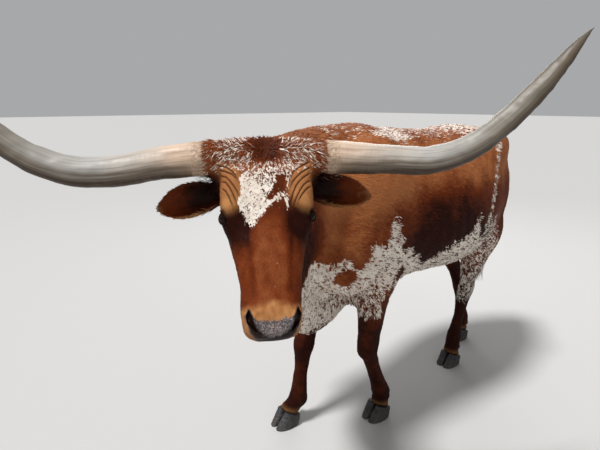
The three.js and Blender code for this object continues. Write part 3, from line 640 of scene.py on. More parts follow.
def earShare(q):
    # from -1 at the lower rim of an ear to 1 at its upper rim
    out, half, left, right = np.array(ears["rows"]).T
    away = np.abs(q[:, 0])
    middle = np.where(q[:, 0] > 0, np.interp(away, out, left), np.interp(away, out, right))
    return (q[:, 2] - middle) / np.interp(away, out, half)


def paintBody(points, rough):
    body = toBody(points)
    x, y, z = body.T
    width = np.abs(x)
    spike = softNoise(points * np.array([1, 2.2, 0.35]), 0.030, 5)
    offSide = np.where(x < 0, 0.035, 0)
    side = np.stack([y + offSide + 0.010 * rough, z + 0.020 * spike], axis=1)
    top = ease(z, 1.29, 1.38) * fade(width, 0.13, 0.25)
    drifted = y + 0.05 * softNoise(points, 0.14, 15)
    back = ease(drifted, -0.52, -0.34) * fade(drifted, 0.40, 0.56)
    back *= 0.60 - 0.22 * ease(y, -0.30, -0.16) + 0.14 * ease(y, 0.12, 0.25)
    hip, _ = lineDistance(side, hipStrip)
    white = np.maximum.reduce([
        patch(side, "chest") * (1 - roundMark(body, "roan") * ease(x, -0.02, 0.08)),
        patch(side, "brisket") * fade(width, 0.085, 0.10),
        patch(side, "flank"),
        patch(side, "thigh"),
        0.56 * fade(hip, 0.004, 0.030) * ease(width, 0.08, 0.16),
        back * top,
        0.30 * ease(y, -0.78, -0.66) * top,
    ])
    white *= 1 - np.clip(roundMark(body, "redSpot") + roundMark(body, "redSpeck"), 0, 1)
    dark = np.maximum(0.40 * fade(z, 0.06, 0.20), 0.16 * fade(z, 0.45, 0.75))
    coronet = fade(z, 0.080, 0.104) * ease(z + 0.010 * rough, 0.056, 0.070)
    tone = 0.42 + 0.08 * softNoise(points, 0.16, 11) + 0.05 * softNoise(points, 0.035, 12)
    # painted light high on the sides, less on the very top, and painted shade low on the body and down the
    # legs
    tone += 0.40 * ease(z, 1.05, 1.22) - 0.20 * ease(z, 1.30, 1.38) - 0.36 * fade(z, 0.40, 0.85)
    # painted highlight on the shoulder, painted shade over the barrel and low on its side
    tone += roundMark(body, "shoulderHighlight") + roundMark(body, "barrelShade") + roundMark(body, "lowBarrelShade")
    # painted shadow that the head casts on the neck beside it
    neck = fade(y, -0.87, -0.76) * ease(z, 0.80, 0.95) * fade(z, 1.18, 1.28) * (x > 0.1)
    return white, dark, 0.42 * coronet, tone - 0.40 * neck


def paintHead(points, rough, head):
    q = toHead(points)
    out, back, up = q.T
    away = np.abs(out)
    both = mirrored(q)
    face = np.stack([out + 0.002 * rough, up + 0.003 * softNoise(points, 0.016, 8)], axis=1)
    front = fade(back, 0.05, 0.09)
    # white
    blaze = patch(face, "blaze") * (1 - patch(face, "wedge"))
    blaze *= 0.662 - 0.19 * ease(up + 0.6 * out, -0.150, -0.070)
    swirl = np.hypot(out - whorl[0], up - whorl[1])
    poll = ease(up, -0.085, -0.062) * fade(up, 0.03, 0.09)
    pollWhite = 0.40 * poll * ease(swirl, 0.012, 0.050) * (1 - 0.45 * ease(away, 0.110, 0.150))
    bridge = 0.06 * fade(away, 0.02, 0.045) * ease(-up, 0.18, 0.26) * fade(-up, 0.36, 0.40)
    # the bottoms of the brow folds, kept from white and darkened below as painted shade
    folds = browFold(q) * head
    paleLip = roundMark(both, "paleLip") * head
    white = np.maximum.reduce([blaze * front, pollWhite, bridge * front]) * (1 - 0.9 * folds)
    # lids, nose, lips and ears, with painted shade in the brow folds, under the eyes, at the temples and
    # inside the ear cups
    lids, eyeFar, _ = eyeReach(q)
    nearEye = fade(eyeFar, 0.05, 0.09) * head
    holes = fade(nostrilReach(q), -0.0010, 0.0020)
    noseFront = fade(back, 0.055, 0.070) * head
    padEdge = outlineDistance(face, patches["nosePad"])
    pad = ease(padEdge, -0.003, 0.002) * noseFront
    rim = patch(face, "noseRim") * noseFront
    tip = away + 0.010 * softNoise(points, 0.03, 14)
    share = earShare(q)
    ear = earPart(q)
    # the inside of each ear's cup, darkened below as painted shade
    earCupShade = earHollow(q) * fade(np.abs(share - 0.10), 0.35, 0.85) * fade(tip, 0.165, 0.225)
    earRim = np.maximum(ease(np.abs(share), 0.84, 0.98), 0.5 * ease(tip, 0.262, 0.285))
    dark = np.maximum.reduce([
        0.80 * folds,
        0.97 * fade(lids, 0.004, 0.009) * (eyeFar < 0.05) * head,
        0.42 * fade(lids, 0.006, 0.016) * nearEye,
        holes * head,
        0.75 * fade(lipReach(q), 0.001, 0.007) * head,
        0.98 * rim * fade(padEdge, -0.004, 0.007),
        0.45 * rim,
        0.45 * fade(np.hypot(out - whorl[0], 0.8 * (up - whorl[1])), 0.004, 0.034) * head,
        # painted shade under the brow and below the eye
        roundMark(both, "underEyeShade") * head,
        # painted shadow between the brow and the root of the ear
        roundMark(both, "temple") * head,
        0.90 * earCupShade,
    ])
    tanBrow = browPatch(q, -0.014, 0.014) * fade(back, 0.05, 0.07) * (0.72 + 0.28 * ease(-up, 0.10, 0.15))
    ringTop = -0.404 + 0.008 * np.cos(out * 50) + 0.003 * rough
    muzzle = fade(up, ringTop - 0.010, ringTop + 0.016) * (1 - 0.45 * ease(back, 0.050, 0.085))
    muzzle *= 0.80 + 0.20 * softNoise(points, 0.022, 13)
    rimTan = 0.46 * earRim * ease(tip, 0.135, 0.180) * ear
    tan = np.maximum.reduce([0.60 * tanBrow, roundMark(both, "browEnd"), 0.85 * muzzle, rimTan])
    tan = np.maximum(tan * head * (1 - holes), 0.95 * paleLip)
    # how bright the red is, with painted highlights down the middle of the face and on the cheeks, and
    # painted shade in the valleys beside the bridge, round the eyes and on the sides of the face
    # painted highlight down the middle of the face
    middle = fade(away, 0.02, 0.06) * ease(-up, 0.16, 0.22)
    # painted shade in the valley on each side of the bridge
    valley = bump(away, 0.048 + 0.06 * (up + 0.30), 0.007) * front
    valley *= ease(-up, 0.22, 0.26) * fade(-up, 0.36, 0.39)
    # painted highlight on the cheeks, painted shade in the eye sockets and near the eyes
    tone = 0.31 + 0.04 * rough + roundMark(both, "cheek") + roundMark(both, "socket") + 0.22 * middle
    tone += 0.26 * poll * ease(swirl, 0.012, 0.060) + 0.34 * tanBrow - 0.14 * nearEye - 0.16 * valley
    # painted shade on the sides of the face, darker the further back
    tone -= 0.10 * ease(back, 0.03, 0.10) + 0.12 * ease(back, 0.10, 0.16)
    tone = between(tone, 0.04 + 0.30 * ease(tip, 0.15, 0.25) + 0.10 * ease(-share, 0.0, 0.8), ear)
    tone = between(tone, 0.35 + roundMark(q, "padMiddle"), pad)
    return np.maximum(white, 0.20 * paleLip), dark, tan, tone, np.maximum(pad, rim)


def paint(points):
    # how white, dark, tan, bright and bare the coat is at each point, and where its flecks are fine
    rough = softNoise(points, 0.045, 3)
    head = onHead(points)
    white, dark, tan, tone = paintBody(points, rough)
    headWhite, headDark, headTan, headTone, bare = paintHead(points, rough, head)
    values = {
        "white": between(white, headWhite, head),
        "dark": np.maximum(dark, headDark),
        "tan": np.maximum(tan, headTan),
        "bare": bare,
        "tone": between(tone, headTone, head),
        "fine": head,
    }
    return {name: np.clip(amount, 0, 1) for name, amount in values.items()}


def furPlace(points):
    # the third value runs along the hair: down the face and the legs, back along the barrel
    x, y, z = toBody(points).T
    place = np.where(z > 0.66, [x, z, y], [x, y, z + 0.15 * y])
    return np.where(onHead(points) > 0.5, toHead(points).T, place).T


# The skin: all the flesh solids as one surface, finer over the head, with its folds and openings.
skinForm = {
    "nodes": ["torso", "neck", "head", "tail", "foreleg_left", "foreleg_right", "hindleg_left",
              "hindleg_right"],
    "voxel": 0.0125,
    "smoothing": 14,
    "headSmoothing": 5,
    "bodyDepth": 0.0035,
    "finerDepth": 0.0010,
}


def buildSkin():
    skin = remeshedCopy(skinForm["nodes"], "skin", skinForm["voxel"])
    _, y, z = toBody(vertexPlaces(skin)).T
    weights = 0.22 + 0.78 * ease(z, 0.70, 0.86) * ease(y, -1.02, -0.86)
    smoothWhere(skin, weights * (1 - 0.6 * ease(y, 0.69, 0.73)), skinForm["smoothing"])
    refine(skin, onHead(faceCentres(skin)) > 0.5)
    for step in ("features", "edges"):
        centres = faceCentres(skin)
        q = toHead(centres)
        out, back, up = mirrored(q).T
        _, eyeFar, _ = eyeReach(q)
        if step == "features":
            chosen = (eyeFar < 0.045) | (up < -0.385) & (back < 0.14)
            chosen |= (out > 0.02) & (up > -0.165) & (up < -0.05) & (back < 0.06)
        else:
            chosen = (eyeFar < 0.034) | (nostrilReach(q) < 0.009) | (browFold(q) > 0.02)
        refine(skin, chosen & (onHead(centres) > 0.5))
    smoothWhere(skin, onHead(vertexPlaces(skin)) > 0.3, skinForm["headSmoothing"])
    sculptBody(skin)
    sculptHead(skin)
    return skin


neckFolds = {"turn": 36.0, "at": (0.160, -0.880), "apart": 0.042, "deep": 0.0065}


def sculptBody(skin):
    points = vertexPlaces(skin)
    body = toBody(points)
    x, y, z = body.T
    head = onHead(points)
    limbs = fade(z, 0.62, 0.80)
    depth = skinForm["bodyDepth"] * (1 - np.maximum(head, limbs))
    depth += skinForm["finerDepth"] * np.maximum(head, 0.4 * limbs)
    # folds of skin across the inner side of the turned neck
    turn = math.radians(neckFolds["turn"])
    flat = body[:, :2] - np.array(neckFolds["at"])
    across = flat @ np.array([math.cos(turn), math.sin(turn)])
    along = flat @ np.array([-math.sin(turn), math.cos(turn)])
    phase = along + 0.12 * (z - 1.1) + 0.008 * softNoise(points, 0.12, 21)
    valley = ((1 + waves(phase + neckFolds["apart"] / 4, neckFolds["apart"])) / 2) ** 2.5
    window = ease(across, 0.02, 0.10) * ease(-along, -0.10, 0.02) * ease(z, 0.82, 0.95) * fade(z, 1.24, 1.33)
    depth += neckFolds["deep"] * valley * window * (1 - 0.5 * head)
    # dewlap creases, ribs, folds of the loin and the soft unevenness of muscle
    creases = ((1 + np.sin(z * 95 + 9 * softNoise(points, 0.20, 22))) / 2) ** 3
    ribs = 0.5 + 0.5 * waves(y + 0.16 * z, 0.062)
    folds = 0.5 + 0.5 * waves(y * 0.9 - 0.45 * z, 0.05)
    depth += creases * roundMark(body, "throatCrease")
    depth += ribs * roundMark(body, "rib") * ease(np.abs(x), 0.2, 0.28)
    depth += folds * roundMark(body, "loinFold") * ease(np.abs(x), 0.15, 0.22)
    depth -= 0.0012 * softNoise(points, 0.09, 23) * (1 - head)
    movePlaces(skin, points - vertexNormals(skin) * depth[:, None])


def sculptHead(skin):
    points = vertexPlaces(skin)
    head = onHead(points)
    q = toHead(points)
    out, back, up = mirrored(q).T
    holes = nostrilReach(q)
    lipFar = lipReach(q)
    crest = bump(out - 0.050 - 0.10 * (up + 0.30), 0, 0.007)
    push = -brow["deep"] * browFold(q) + 0.0014 * browPatch(q, -0.004, 0.008) * (back < 0.06)
    push += 0.0014 * bump(holes, 0.004, 0.003) * (back < 0.05)
    push += 0.0016 * bump(lipFar, 0.009, 0.005) - 0.0050 * bump(lipFar, 0, 0.0026)
    push -= 0.0018 * crest * ease(-up, 0.21, 0.25) * fade(-up, 0.36, 0.40)
    push += roundMark(mirrored(q), "eyeHollow") + roundMark(mirrored(q), "earRoot")
    push += 0.0006 * softNoise(points, 0.03, 31) * fade(-up, 0.36, 0.40)
    q = toHead(points + vertexNormals(skin) * (push * head)[:, None])
    inside = ease(-holes, -0.0006, 0.0034) * head
    q[:, 1] += nostril["deep"] * inside
    q[:, 0] += 0.004 * inside * np.sign(q[:, 0])
    # lids wrap the eyeball, and the skin inside their opening goes behind it
    outside, far, r = eyeReach(q)
    wrap = fade(outside, 0.0025, 0.013)
    crease = bump(outside, 0.0075, 0.0016)
    target = eye["radius"] + eye["lid"] - 0.0012 * ease(outside, 0.003, 0.010)
    reach = between(far, np.maximum(target, far * 0.6), wrap) - 0.0014 * crease * (far < 0.04)
    reach = np.where(outside < 0, eye["behind"], reach)
    near = (far < 0.042) & (outside < 0.016) & (head > 0.5)
    moved = np.array(headPose["eye"]) + r / far[:, None] * reach[:, None]
    moved[:, 0] *= np.where(q[:, 0] < 0, -1, 1)
    movePlaces(skin, fromHead(np.where(near[:, None], moved, q)))


def addEars(skin):
    for word in ("left", "right"):
        ear = remeshedCopy([f"ear_{word}"], f"ear{word.title()}", ears["voxel"], 6)
        q = toHead(vertexPlaces(ear))
        root = np.array(ears[word])
        sunk = fade(np.abs(q[:, 0]) - abs(root[0]), 0.018, 0.050)
        q[:, 0] -= np.sign(root[0]) * ears["sunk"] * sunk
        q[:, 1:] += (root[1:] - q[:, 1:]) * (0.22 * sunk)[:, None]
        movePlaces(ear, fromHead(q))
        applyModifier(skin, "BOOLEAN", operation="UNION", solver="EXACT", object=ear)
        print("ear", word, len(skin.data.vertices), "points")
        bpy.data.objects.remove(ear)


def skinSurface(piece):
    # corners, normals, unwrapped places and area of every triangle of the skin
    selectOnly(piece)
    bpy.ops.object.mode_set(mode="EDIT")
    bpy.ops.mesh.select_all(action="SELECT")
    bpy.ops.mesh.quads_convert_to_tris()
    bpy.ops.uv.smart_project(angle_limit=math.radians(72), island_margin=0.002)
    bpy.ops.object.mode_set(mode="OBJECT")
    triangles = np.empty(len(piece.data.loops), np.int32)
    piece.data.loops.foreach_get("vertex_index", triangles)
    triangles = triangles.reshape(-1, 3)
    flat = np.empty(len(piece.data.loops) * 2, np.float32)
    layer = piece.data.uv_layers.active
    layer.data.foreach_get("uv", flat)
    piece.data.uv_layers.remove(layer)
    corners = vertexPlaces(piece)[triangles]
    edges = corners[:, 1:] - corners[:, :1]
    return {
        "corners": corners,
        "normals": vertexNormals(piece)[triangles],
        "unwrap": flat.reshape(-1, 3, 2).astype(float),
        "area": np.linalg.norm(np.cross(edges[:, 0], edges[:, 1]), axis=1) / 2,
    }


def lieOfCoat(points, normals):
    # the way the hair lies at each point
    _, y, z = toBody(points).T
    q = toHead(points)
    out, back, up = q.T
    none = np.zeros(len(points))
    way = np.tile([0.0, 1.0, -0.42], (len(points), 1))
    for share, lie in (
        (ease(-y, 0.62, 0.82), (-0.52, 0.72, -0.50)),  # neck
        (ease(-z, -0.86, -0.66) * ease(-y, 0.30, 0.50), (0.0, 0.25, -1.0)),  # chest
        (ease(y, 0.25, 0.60) * fade(z, 1.00, 1.30), (0.0, 0.25, -1.0)),  # thigh
        (fade(z, 0.55, 0.68), (0.0, 0.15, -1.0)),  # legs
        (ease(y, 0.64, 0.74), (0.0, 0.0, -1.0)),  # tail and rear
    ):
        way = between(way, lie, share[:, None])
    # the head: away from the whorl, down the face and back over the cheeks, out along the ears
    away = np.stack([out - whorl[0], none, up - whorl[1]], axis=1)
    ring = np.linalg.norm(away, axis=1)
    down = np.stack([0.25 * np.sign(out), 5.0 * ease(back, 0.04, 0.22), none - 1], axis=1)
    face = unit(away) * fade(ring, 0.10, 0.22)[:, None] + unit(down) * ease(ring, 0.06, 0.20)[:, None]
    face = between(face, (0.0, 0.7, 0.7), ease(up, -0.02, 0.05)[:, None])
    face = between(face, np.stack([np.sign(out), none, none - 0.15], axis=1), earPart(q)[:, None])
    head = onHead(points)[:, None]
    way = between(way, face @ headAxes.T, head)
    swirl = np.stack([softNoise(points, 0.12, 40 + k) for k in range(3)], axis=1)
    way = unit(way) + 0.14 * swirl * (1 - 0.6 * head)
    way -= normals * np.sum(way * normals, axis=1)[:, None]
    return unit(way)


coat = {
    "tufts": 118000,
    "width": 0.0036,
    "thick": 0.0008,
    "sunk": 0.0010,
    "patch": 0.003,  # size of a tuft's place in the unwrapping
    "lengths": (0.7, 1.25),
    "widths": (0.7, 1.3),
    "lifts": (0.5, 1.5),
    "spread": 0.22,  # how far a tuft strays from the lie
    "tilt": 0.8,
    "rounding": 0.35,
}


def coatAt(points, normals):
    # crowding, length, width and lift of the tufts at each point
    x, y, z = toBody(points).T
    q = toHead(points)
    out, back, up = mirrored(q).T
    head = onHead(points)
    rest = 1 - head
    ear = earPart(q)
    poll = ease(up, -0.055, -0.015) * fade(out, 0.10, 0.14) * head
    temple = roundMark(mirrored(q), "templeHair") * head
    crest = ease(z, 1.30, 1.40) * ease(-y, 0.50, 0.75) * rest
    brisket = fade(z, 0.55, 0.72) * ease(-y, 0.42, 0.55) * rest * fade(np.abs(x), 0.10, 0.13) * (z > 0.46)
    belly = ease(-normals[:, 2], 0.45, 0.8) * ease(z, 0.60, 0.66) * rest
    leg = fade(z, 0.50, 0.66)
    length = 0.018 + 0.010 * crest + 0.008 * belly + 0.010 * brisket
    length -= 0.006 * leg + 0.004 * fade(z, 0.12, 0.22)
    length = between(length, 0.0075 + 0.013 * poll + 0.010 * ease(back, 0.16, 0.26), head)
    length = between(length, 0.010 + 0.014 * earHollow(q) * fade(out, 0.15, 0.22), ear) + 0.013 * temple
    length *= 1 - 0.40 * ease(-up, 0.36, 0.42) * head
    length *= 1 - 0.55 * browPatch(q, -0.008, 0.004) * fade(back, 0.05, 0.07) * head
    width = 1.0 - 0.50 * head + 0.12 * poll * head - 0.20 * (leg + crest) * rest
    lift = 0.085 + 0.25 * temple + 0.20 * poll + 0.12 * crest + 0.10 * brisket + 0.10 * belly
    lift -= 0.03 * head * (1 - poll)
    crowd = 1.0 + 1.6 * head + 1.0 * poll + 0.3 * crest + 0.4 * brisket + 0.5 * leg * rest
    # no hair on the lids, the nose, the lips, in the folds and on the hooves
    lids, eyeFar, _ = eyeReach(q)
    nose = ease(outlineDistance(q[:, [0, 2]], patches["noseRim"]), -0.003, 0.0) * (back < 0.068)
    clear = np.where(eyeFar < 0.05, ease(lids, 0.005, 0.010), 1.0) * (1 - nose)
    clear *= ease(nostrilReach(q), 0.001, 0.004) * ease(lipReach(q), 0.003, 0.006)
    crowd *= np.where(head > 0.5, clear, 1.0) * (1 - 0.97 * np.clip(browFold(q) * 5, 0, 1) * head)
    return crowd * ease(z, 0.040, 0.050), length, width, lift


def scatter(surface, count, seed):
    # roots of the tufts, spread over the skin by how crowded the coat is there
    draw = np.random.default_rng(seed)
    facing = unit(surface["normals"].mean(axis=1))
    crowd = coatAt(surface["corners"].mean(axis=1), facing)[0]
    totals = np.cumsum(surface["area"] * crowd)
    picks = (np.arange(count) + draw.uniform(0, 1, count)) / count * totals[-1]
    order = np.minimum(np.searchsorted(totals, picks), len(totals) - 1)
    r1 = np.sqrt(draw.uniform(0, 1, count))
    r2 = draw.uniform(0, 1, count)
    shares = np.stack([1 - r1, r1 * (1 - r2), r1 * r2], axis=1)[:, :, None]
    roots, normals, unwrap = [(surface[name][order] * shares).sum(axis=1)
                              for name in ("corners", "normals", "unwrap")]
    return roots, unit(normals), unwrap


# One tuft: seven corners and ten faces, and where its corners lie in the unwrapping.
tuftFaces = np.array([(0, 2, 1), (0, 1, 4), (0, 4, 3), (1, 2, 5), (1, 5, 4), (2, 0, 3), (2, 3, 5),
                      (3, 4, 6), (4, 5, 6), (5, 3, 6)])
tuftPatch = np.array([(-0.5, -0.5), (0.5, -0.5), (0, 0.0), (-0.4, 0.1), (0.4, 0.1), (0, 0.3), (0, 0.5)])


def meshOfMany(name, places, oneFaces, onePatch, unwrap):
    # many copies of one small shape, from the corners of them all and the faces of one
    size = len(onePatch)
    count = len(places) // size
    faces = (oneFaces[None] + size * np.arange(count)[:, None, None]).reshape(-1, 3)
    mesh = bpy.data.meshes.new(name)
    mesh.vertices.add(len(places))
    mesh.vertices.foreach_set("co", places.astype(np.float32).ravel())
    mesh.loops.add(faces.size)
    mesh.loops.foreach_set("vertex_index", faces.astype(np.int32).ravel())
    mesh.polygons.add(len(faces))
    mesh.polygons.foreach_set("loop_start", np.arange(len(faces), dtype=np.int32) * 3)
    mesh.update(calc_edges=True)
    piece = bpy.data.objects.new(name, mesh)
    bpy.context.scene.collection.objects.link(piece)
    layer = mesh.uv_layers.new(name="OFBake")
    spots = np.repeat(unwrap, size, axis=0) + np.tile(onePatch, (count, 1)) * coat["patch"]
    layer.data.foreach_set("uv", spots[faces.ravel()].astype(np.float32).ravel())
    return piece


def growTufts(name, roots, normals, unwrap, seed, longer=1.0):
    draw = np.random.default_rng(seed)
    count = len(roots)
    _, length, width, lift = coatAt(roots, normals)
    way = lieOfCoat(roots, normals)
    stray = draw.normal(0, coat["spread"], count) * (1 + 3 * np.clip(lift - 0.10, 0, 0.2) / 0.2)
    way = unit(way + np.cross(normals, way) * stray[:, None])
    side = np.cross(normals, way)
    length = (length * longer * draw.uniform(*coat["lengths"], count))[:, None]
    half = (coat["width"] / 2 * width * draw.uniform(*coat["widths"], count))[:, None]
    thick = coat["thick"] * (half / coat["width"] * 2)
    rise = (lift * draw.uniform(*coat["lifts"], count))[:, None]
    base = roots - normals * coat["sunk"]
    middle = roots + way * length * 0.5 + normals * length * rise * 0.62
    tip = roots + way * length + normals * length * rise * 0.80
    tip += side * length * draw.normal(0, 0.10, count)[:, None]
    places = np.stack([
        base - side * half * 0.8,
        base + side * half * 0.8,
        base + normals * thick * 1.6 - way * half,
        middle - side * half,
        middle + side * half,
        middle + normals * thick,
        tip,
    ], axis=1).reshape(-1, 3)
    piece = meshOfMany(name, places, tuftFaces, tuftPatch, unwrap)
    for title, values in paint(roots).items():
        store(piece, title, np.repeat(values, 7))
    store(piece, "rootPlace", np.repeat(roots, 7, axis=0))
    store(piece, "stray", np.repeat(draw.uniform(0, 1, count), 7))
    finishPiece(piece, coatPaint)
    # each tuft is shaded with the skin it lies on, only a little rounded across
    facing = unit(normals - way * rise * coat["tilt"])
    left = facing - coat["rounding"] * side
    right = facing + coat["rounding"] * side
    lit = np.stack([left, right, facing, left, right, facing, facing], axis=1).reshape(-1, 3)
    piece.data.normals_split_custom_set_from_vertices(unit(lit).tolist())
    return piece


# Pieces of the coat, in the order of the region numbers.
regionNames = ["coatBrow", "coatShoulderLeft", "coatFlankLeft", "coatRumpLeft", "coatShoulderRight",
               "coatFlankRight", "coatRumpRight", "coatLegs", "coatFace", "coatNeck"]


def coatRegions(points):
    x, y, z = toBody(points).T
    region = np.where(y < -0.28, 1, np.where(y < 0.18, 2, 3)) + np.where(x < 0, 3, 0)
    region = np.where(y < -0.70, 9, region)
    region = np.where(z < 0.62, 7, region)
    return np.where(onHead(points) > 0.5, np.where(toHead(points)[:, 2] < -0.2, 8, 0), region)


def growCoat(surface):
    roots, normals, unwrap = scatter(surface, coat["tufts"], 71)
    region = coatRegions(roots)
    for number, name in enumerate(regionNames):
        chosen = region == number
        piece = growTufts(name, roots[chosen], normals[chosen], unwrap[chosen], 80 + number)
        print(name, len(piece.data.polygons), "triangles")


# Hair that runs from the poll over the base of each horn.
fringe = {"count": 640, "radius": 0.0435, "from": -0.028, "to": 0.000, "longer": 2.1}


def growFringe(surface):
    draw = np.random.default_rng(73)
    roots = []
    facing = []
    for side in (1, -1):
        angle = draw.uniform(0, 2 * math.pi, fringe["count"])
        around = np.stack([0 * angle, np.cos(angle), np.sin(angle)], axis=1)
        local = around * fringe["radius"]
        local[:, 0] = side * draw.uniform(fringe["from"], fringe["to"], fringe["count"])
        roots.append(local @ levelAxes.T + hornBase(side))
        facing.append(around @ levelAxes.T)
    roots = np.concatenate(roots)
    middles = surface["corners"].mean(axis=1)
    close = np.nonzero(onHead(middles) > 0.5)[0]
    nearest = [close[np.argmin(np.sum((middles[close] - root) ** 2, axis=1))] for root in roots]
    unwrap = surface["unwrap"][nearest].mean(axis=1)
    growTufts("coatFringe", roots, np.concatenate(facing), unwrap, 74, fringe["longer"])


# Colours of skin and coat, shared so that both carry the same markings.
finish = {
    "redDeep": (0.020, 0.0028, 0.0009),
    "red": (0.135, 0.025, 0.0050),
    "redBright": (0.370, 0.132, 0.046),
    "white": (0.80, 0.73, 0.65),
    "whiteWarm": (0.50, 0.40, 0.31),
    "dark": (0.012, 0.005, 0.0035),
    "tan": (0.47, 0.225, 0.082),
    "padGrey": (0.125, 0.112, 0.118),
    "padPink": (0.60, 0.49, 0.46),
}


def hideColor(graph, place, grain, jitter):
    broad = graph.noise(place, 14, 3)
    red = graph.ramp((graph.attribute("tone") + (broad - 0.5) * 0.26 + jitter).clamped(), [
        (0.05, finish["redDeep"]), (0.45, finish["red"]), (0.95, finish["redBright"])])
    coarse = graph.noise(place, 66, 3, 0.62)
    small = graph.noise(place, 165, 2, 0.6)
    fleck = (((coarse + (small - coarse) * graph.attribute("fine")) - 0.5) * 2.6 + 0.5).clamped()
    cover = fleck * 0.62 + grain * 0.38 - (1.04 - graph.attribute("white") * 1.08)
    pale = graph.mix((graph.noise(place, 26, 2) * 1.6 - 0.5).clamped(), finish["white"], finish["whiteWarm"])
    color = graph.mix(graph.attribute("tan") * 0.92, red, finish["tan"])
    color = graph.mix((cover * 8.0 + 0.5).clamped(), color, pale)
    return graph.mix(graph.attribute("dark"), color, finish["dark"])


def makeSkinPaint():
    graph = Graph("hide", 0.62, 0.06)
    place = graph.objectPlace()
    grain = ((graph.noise(place, 300, 2) - 0.5) * 2.4 + 0.5).clamped()
    color = hideColor(graph, place, grain, 0.0)
    bare = graph.attribute("bare")
    spots = graph.noise(place, 280, 3, 0.65) * 4.6 - 2.55 + graph.attribute("tone") * 0.75
    pad = graph.mix(spots.clamped(), finish["padGrey"], finish["padPink"])
    pad = graph.mix(graph.attribute("dark"), pad, finish["dark"])
    graph.color(graph.mix(bare, color, pad))
    graph.rough(0.66 - bare * 0.26)
    streaks = graph.noise(graph.stretched(graph.attribute("furPlace", "Vector"), (520, 520, 75)), 1.0, 3, 0.6)
    graph.bump(streaks * (1 - bare) + graph.cells(place, 330) * bare * 1.2, 0.0016, 0.8)
    return graph.material


def makeCoatPaint():
    graph = Graph("hair", 0.48, 0.07)
    stray = graph.attribute("stray")
    graph.color(hideColor(graph, graph.attribute("rootPlace", "Vector"), stray, (stray - 0.5) * 0.20))
    return graph.material


# Horns, as the solids have them: out, back, up and radius in millimetres, in the head's turn from each base.
horns = {
    "base": (0.150, 0.035, -0.026),
    "left": [(0, 0, 0, 44), (60, 0, -4, 43), (120, 0, -8, 41), (196, 0, -11, 38.5), (295, -15, -13, 37),
             (390, -31, 19, 34.5), (476, -51, 89, 31), (561, -64, 182, 26), (644, -69, 286, 12),
             (680, -70, 324, 2)],
    "right": [(0, 0, 0, 44), (60, 2, -5, 43), (119, 4, -11, 41), (217, -7, -27, 38.5), (310, -14, -25, 37),
              (399, -13, 5, 34), (480, -10, 65, 30), (560, -8, 155, 25), (640, -8, 268, 12),
              (674, -8, 308, 2)],
    "voxel": 0.0042,
    "ringApart": 0.0125,
    "ringDeep": 0.0002,
    "crust": 0.0008,
    "evened": 0.0025,
    "fluteDeep": 0.0008,
    "uneven": 0.0010,
    "sunk": 0.016,
}


def hornBase(side):
    out, back, up = horns["base"]
    return fromHead(np.array([side * out, back, up]))


def smoothLine(rows, steps):
    rows = np.array(rows, float)
    padded = np.vstack([2 * rows[0] - rows[1], rows, 2 * rows[-1] - rows[-2]])
    line = []
    for k in range(1, len(padded) - 2):
        a, b, c, d = padded[k - 1:k + 3]
        for t in np.arange(steps) / steps:
            line.append(0.5 * (2 * b + (c - a) * t + (2 * a - 5 * b + 4 * c - d) * t * t
                               + (3 * b - a - 3 * c + d) * t ** 3))
    line.append(rows[-1])
    return np.array(line)


def buildHorn(word):
    side = 1 if word == "left" else -1
    horn = remeshedCopy([f"horn_{word}"], f"horn{word.title()}", horns["voxel"], 30)
    points = vertexPlaces(horn)
    local = (points - hornBase(side)) @ levelAxes
    line = smoothLine(horns[word], 6) / 1000 * np.array([side, 1, 1, 1])
    _, along = lineDistance(local, line[:, :3])
    stops = stopsAlong(line[:, :3])
    share = along / stops[-1]

    def onLine(place):
        return np.stack([np.interp(place, stops, line[:, k]) for k in range(4)], axis=1)

    centre = onLine(along)
    tangent = unit(onLine(along + 0.01)[:, :3] - onLine(along - 0.01)[:, :3])
    back = unit(np.array([0.0, 1.0, 0.0]) - tangent * tangent[:, 1:2])
    up = np.cross(tangent, back) * side
    out = local - centre[:, :3]
    angle = np.arctan2(np.sum(out * up, axis=1), np.sum(out * back, axis=1))
    far = np.maximum(np.linalg.norm(out, axis=1), 1e-6)
    rounding = np.clip(centre[:, 3] - far, -horns["evened"], horns["evened"])
    rounding *= ease(share, 0.0, 0.02) * fade(share, 0.90, 0.96)
    points = points + out / far[:, None] * rounding[:, None]
    # growth rings near the base, a crusty band at the hairline and long shallow flutes
    warp = 0.004 * softNoise(points, 0.09, 51 + side) + 0.0022 * np.sin(angle * 2 + side)
    ringFade = fade(share, 0.16, 0.42) * (0.55 + 0.45 * softNoise(points, 0.05, 53))
    crust = fade(along + 0.006 * softNoise(points, 0.03, 57), 0.022, 0.046)
    flute = np.sin(angle * 5 + 1.5 * softNoise(points, 0.30, 55))
    lift = horns["ringDeep"] * waves(along + warp, horns["ringApart"]) * ringFade
    lift += horns["crust"] * crust * softNoise(points, 0.009, 54)
    lift += horns["fluteDeep"] * flute * ease(share, 0.15, 0.35) * fade(share, 0.80, 0.95)
    lift += horns["uneven"] * softNoise(points, 0.060, 56) * fade(share, 0.85, 0.95)
    points = points + vertexNormals(horn) * lift[:, None]
    # the base goes on into the hair of the head
    points[local[:, 0] * side < 0.012] += levelAxes @ np.array([-side * horns["sunk"], 0.0, 0.0])
    movePlaces(horn, points)
    store(horn, "share", share)
    store(horn, "crust", crust)
    store(horn, "upper", np.sin(angle))
    store(horn, "hornPlace", np.stack([np.cos(angle) * 0.036, np.sin(angle) * 0.036, along], axis=1))
    finishPiece(horn, hornPaint, [f"horn_{word}"])


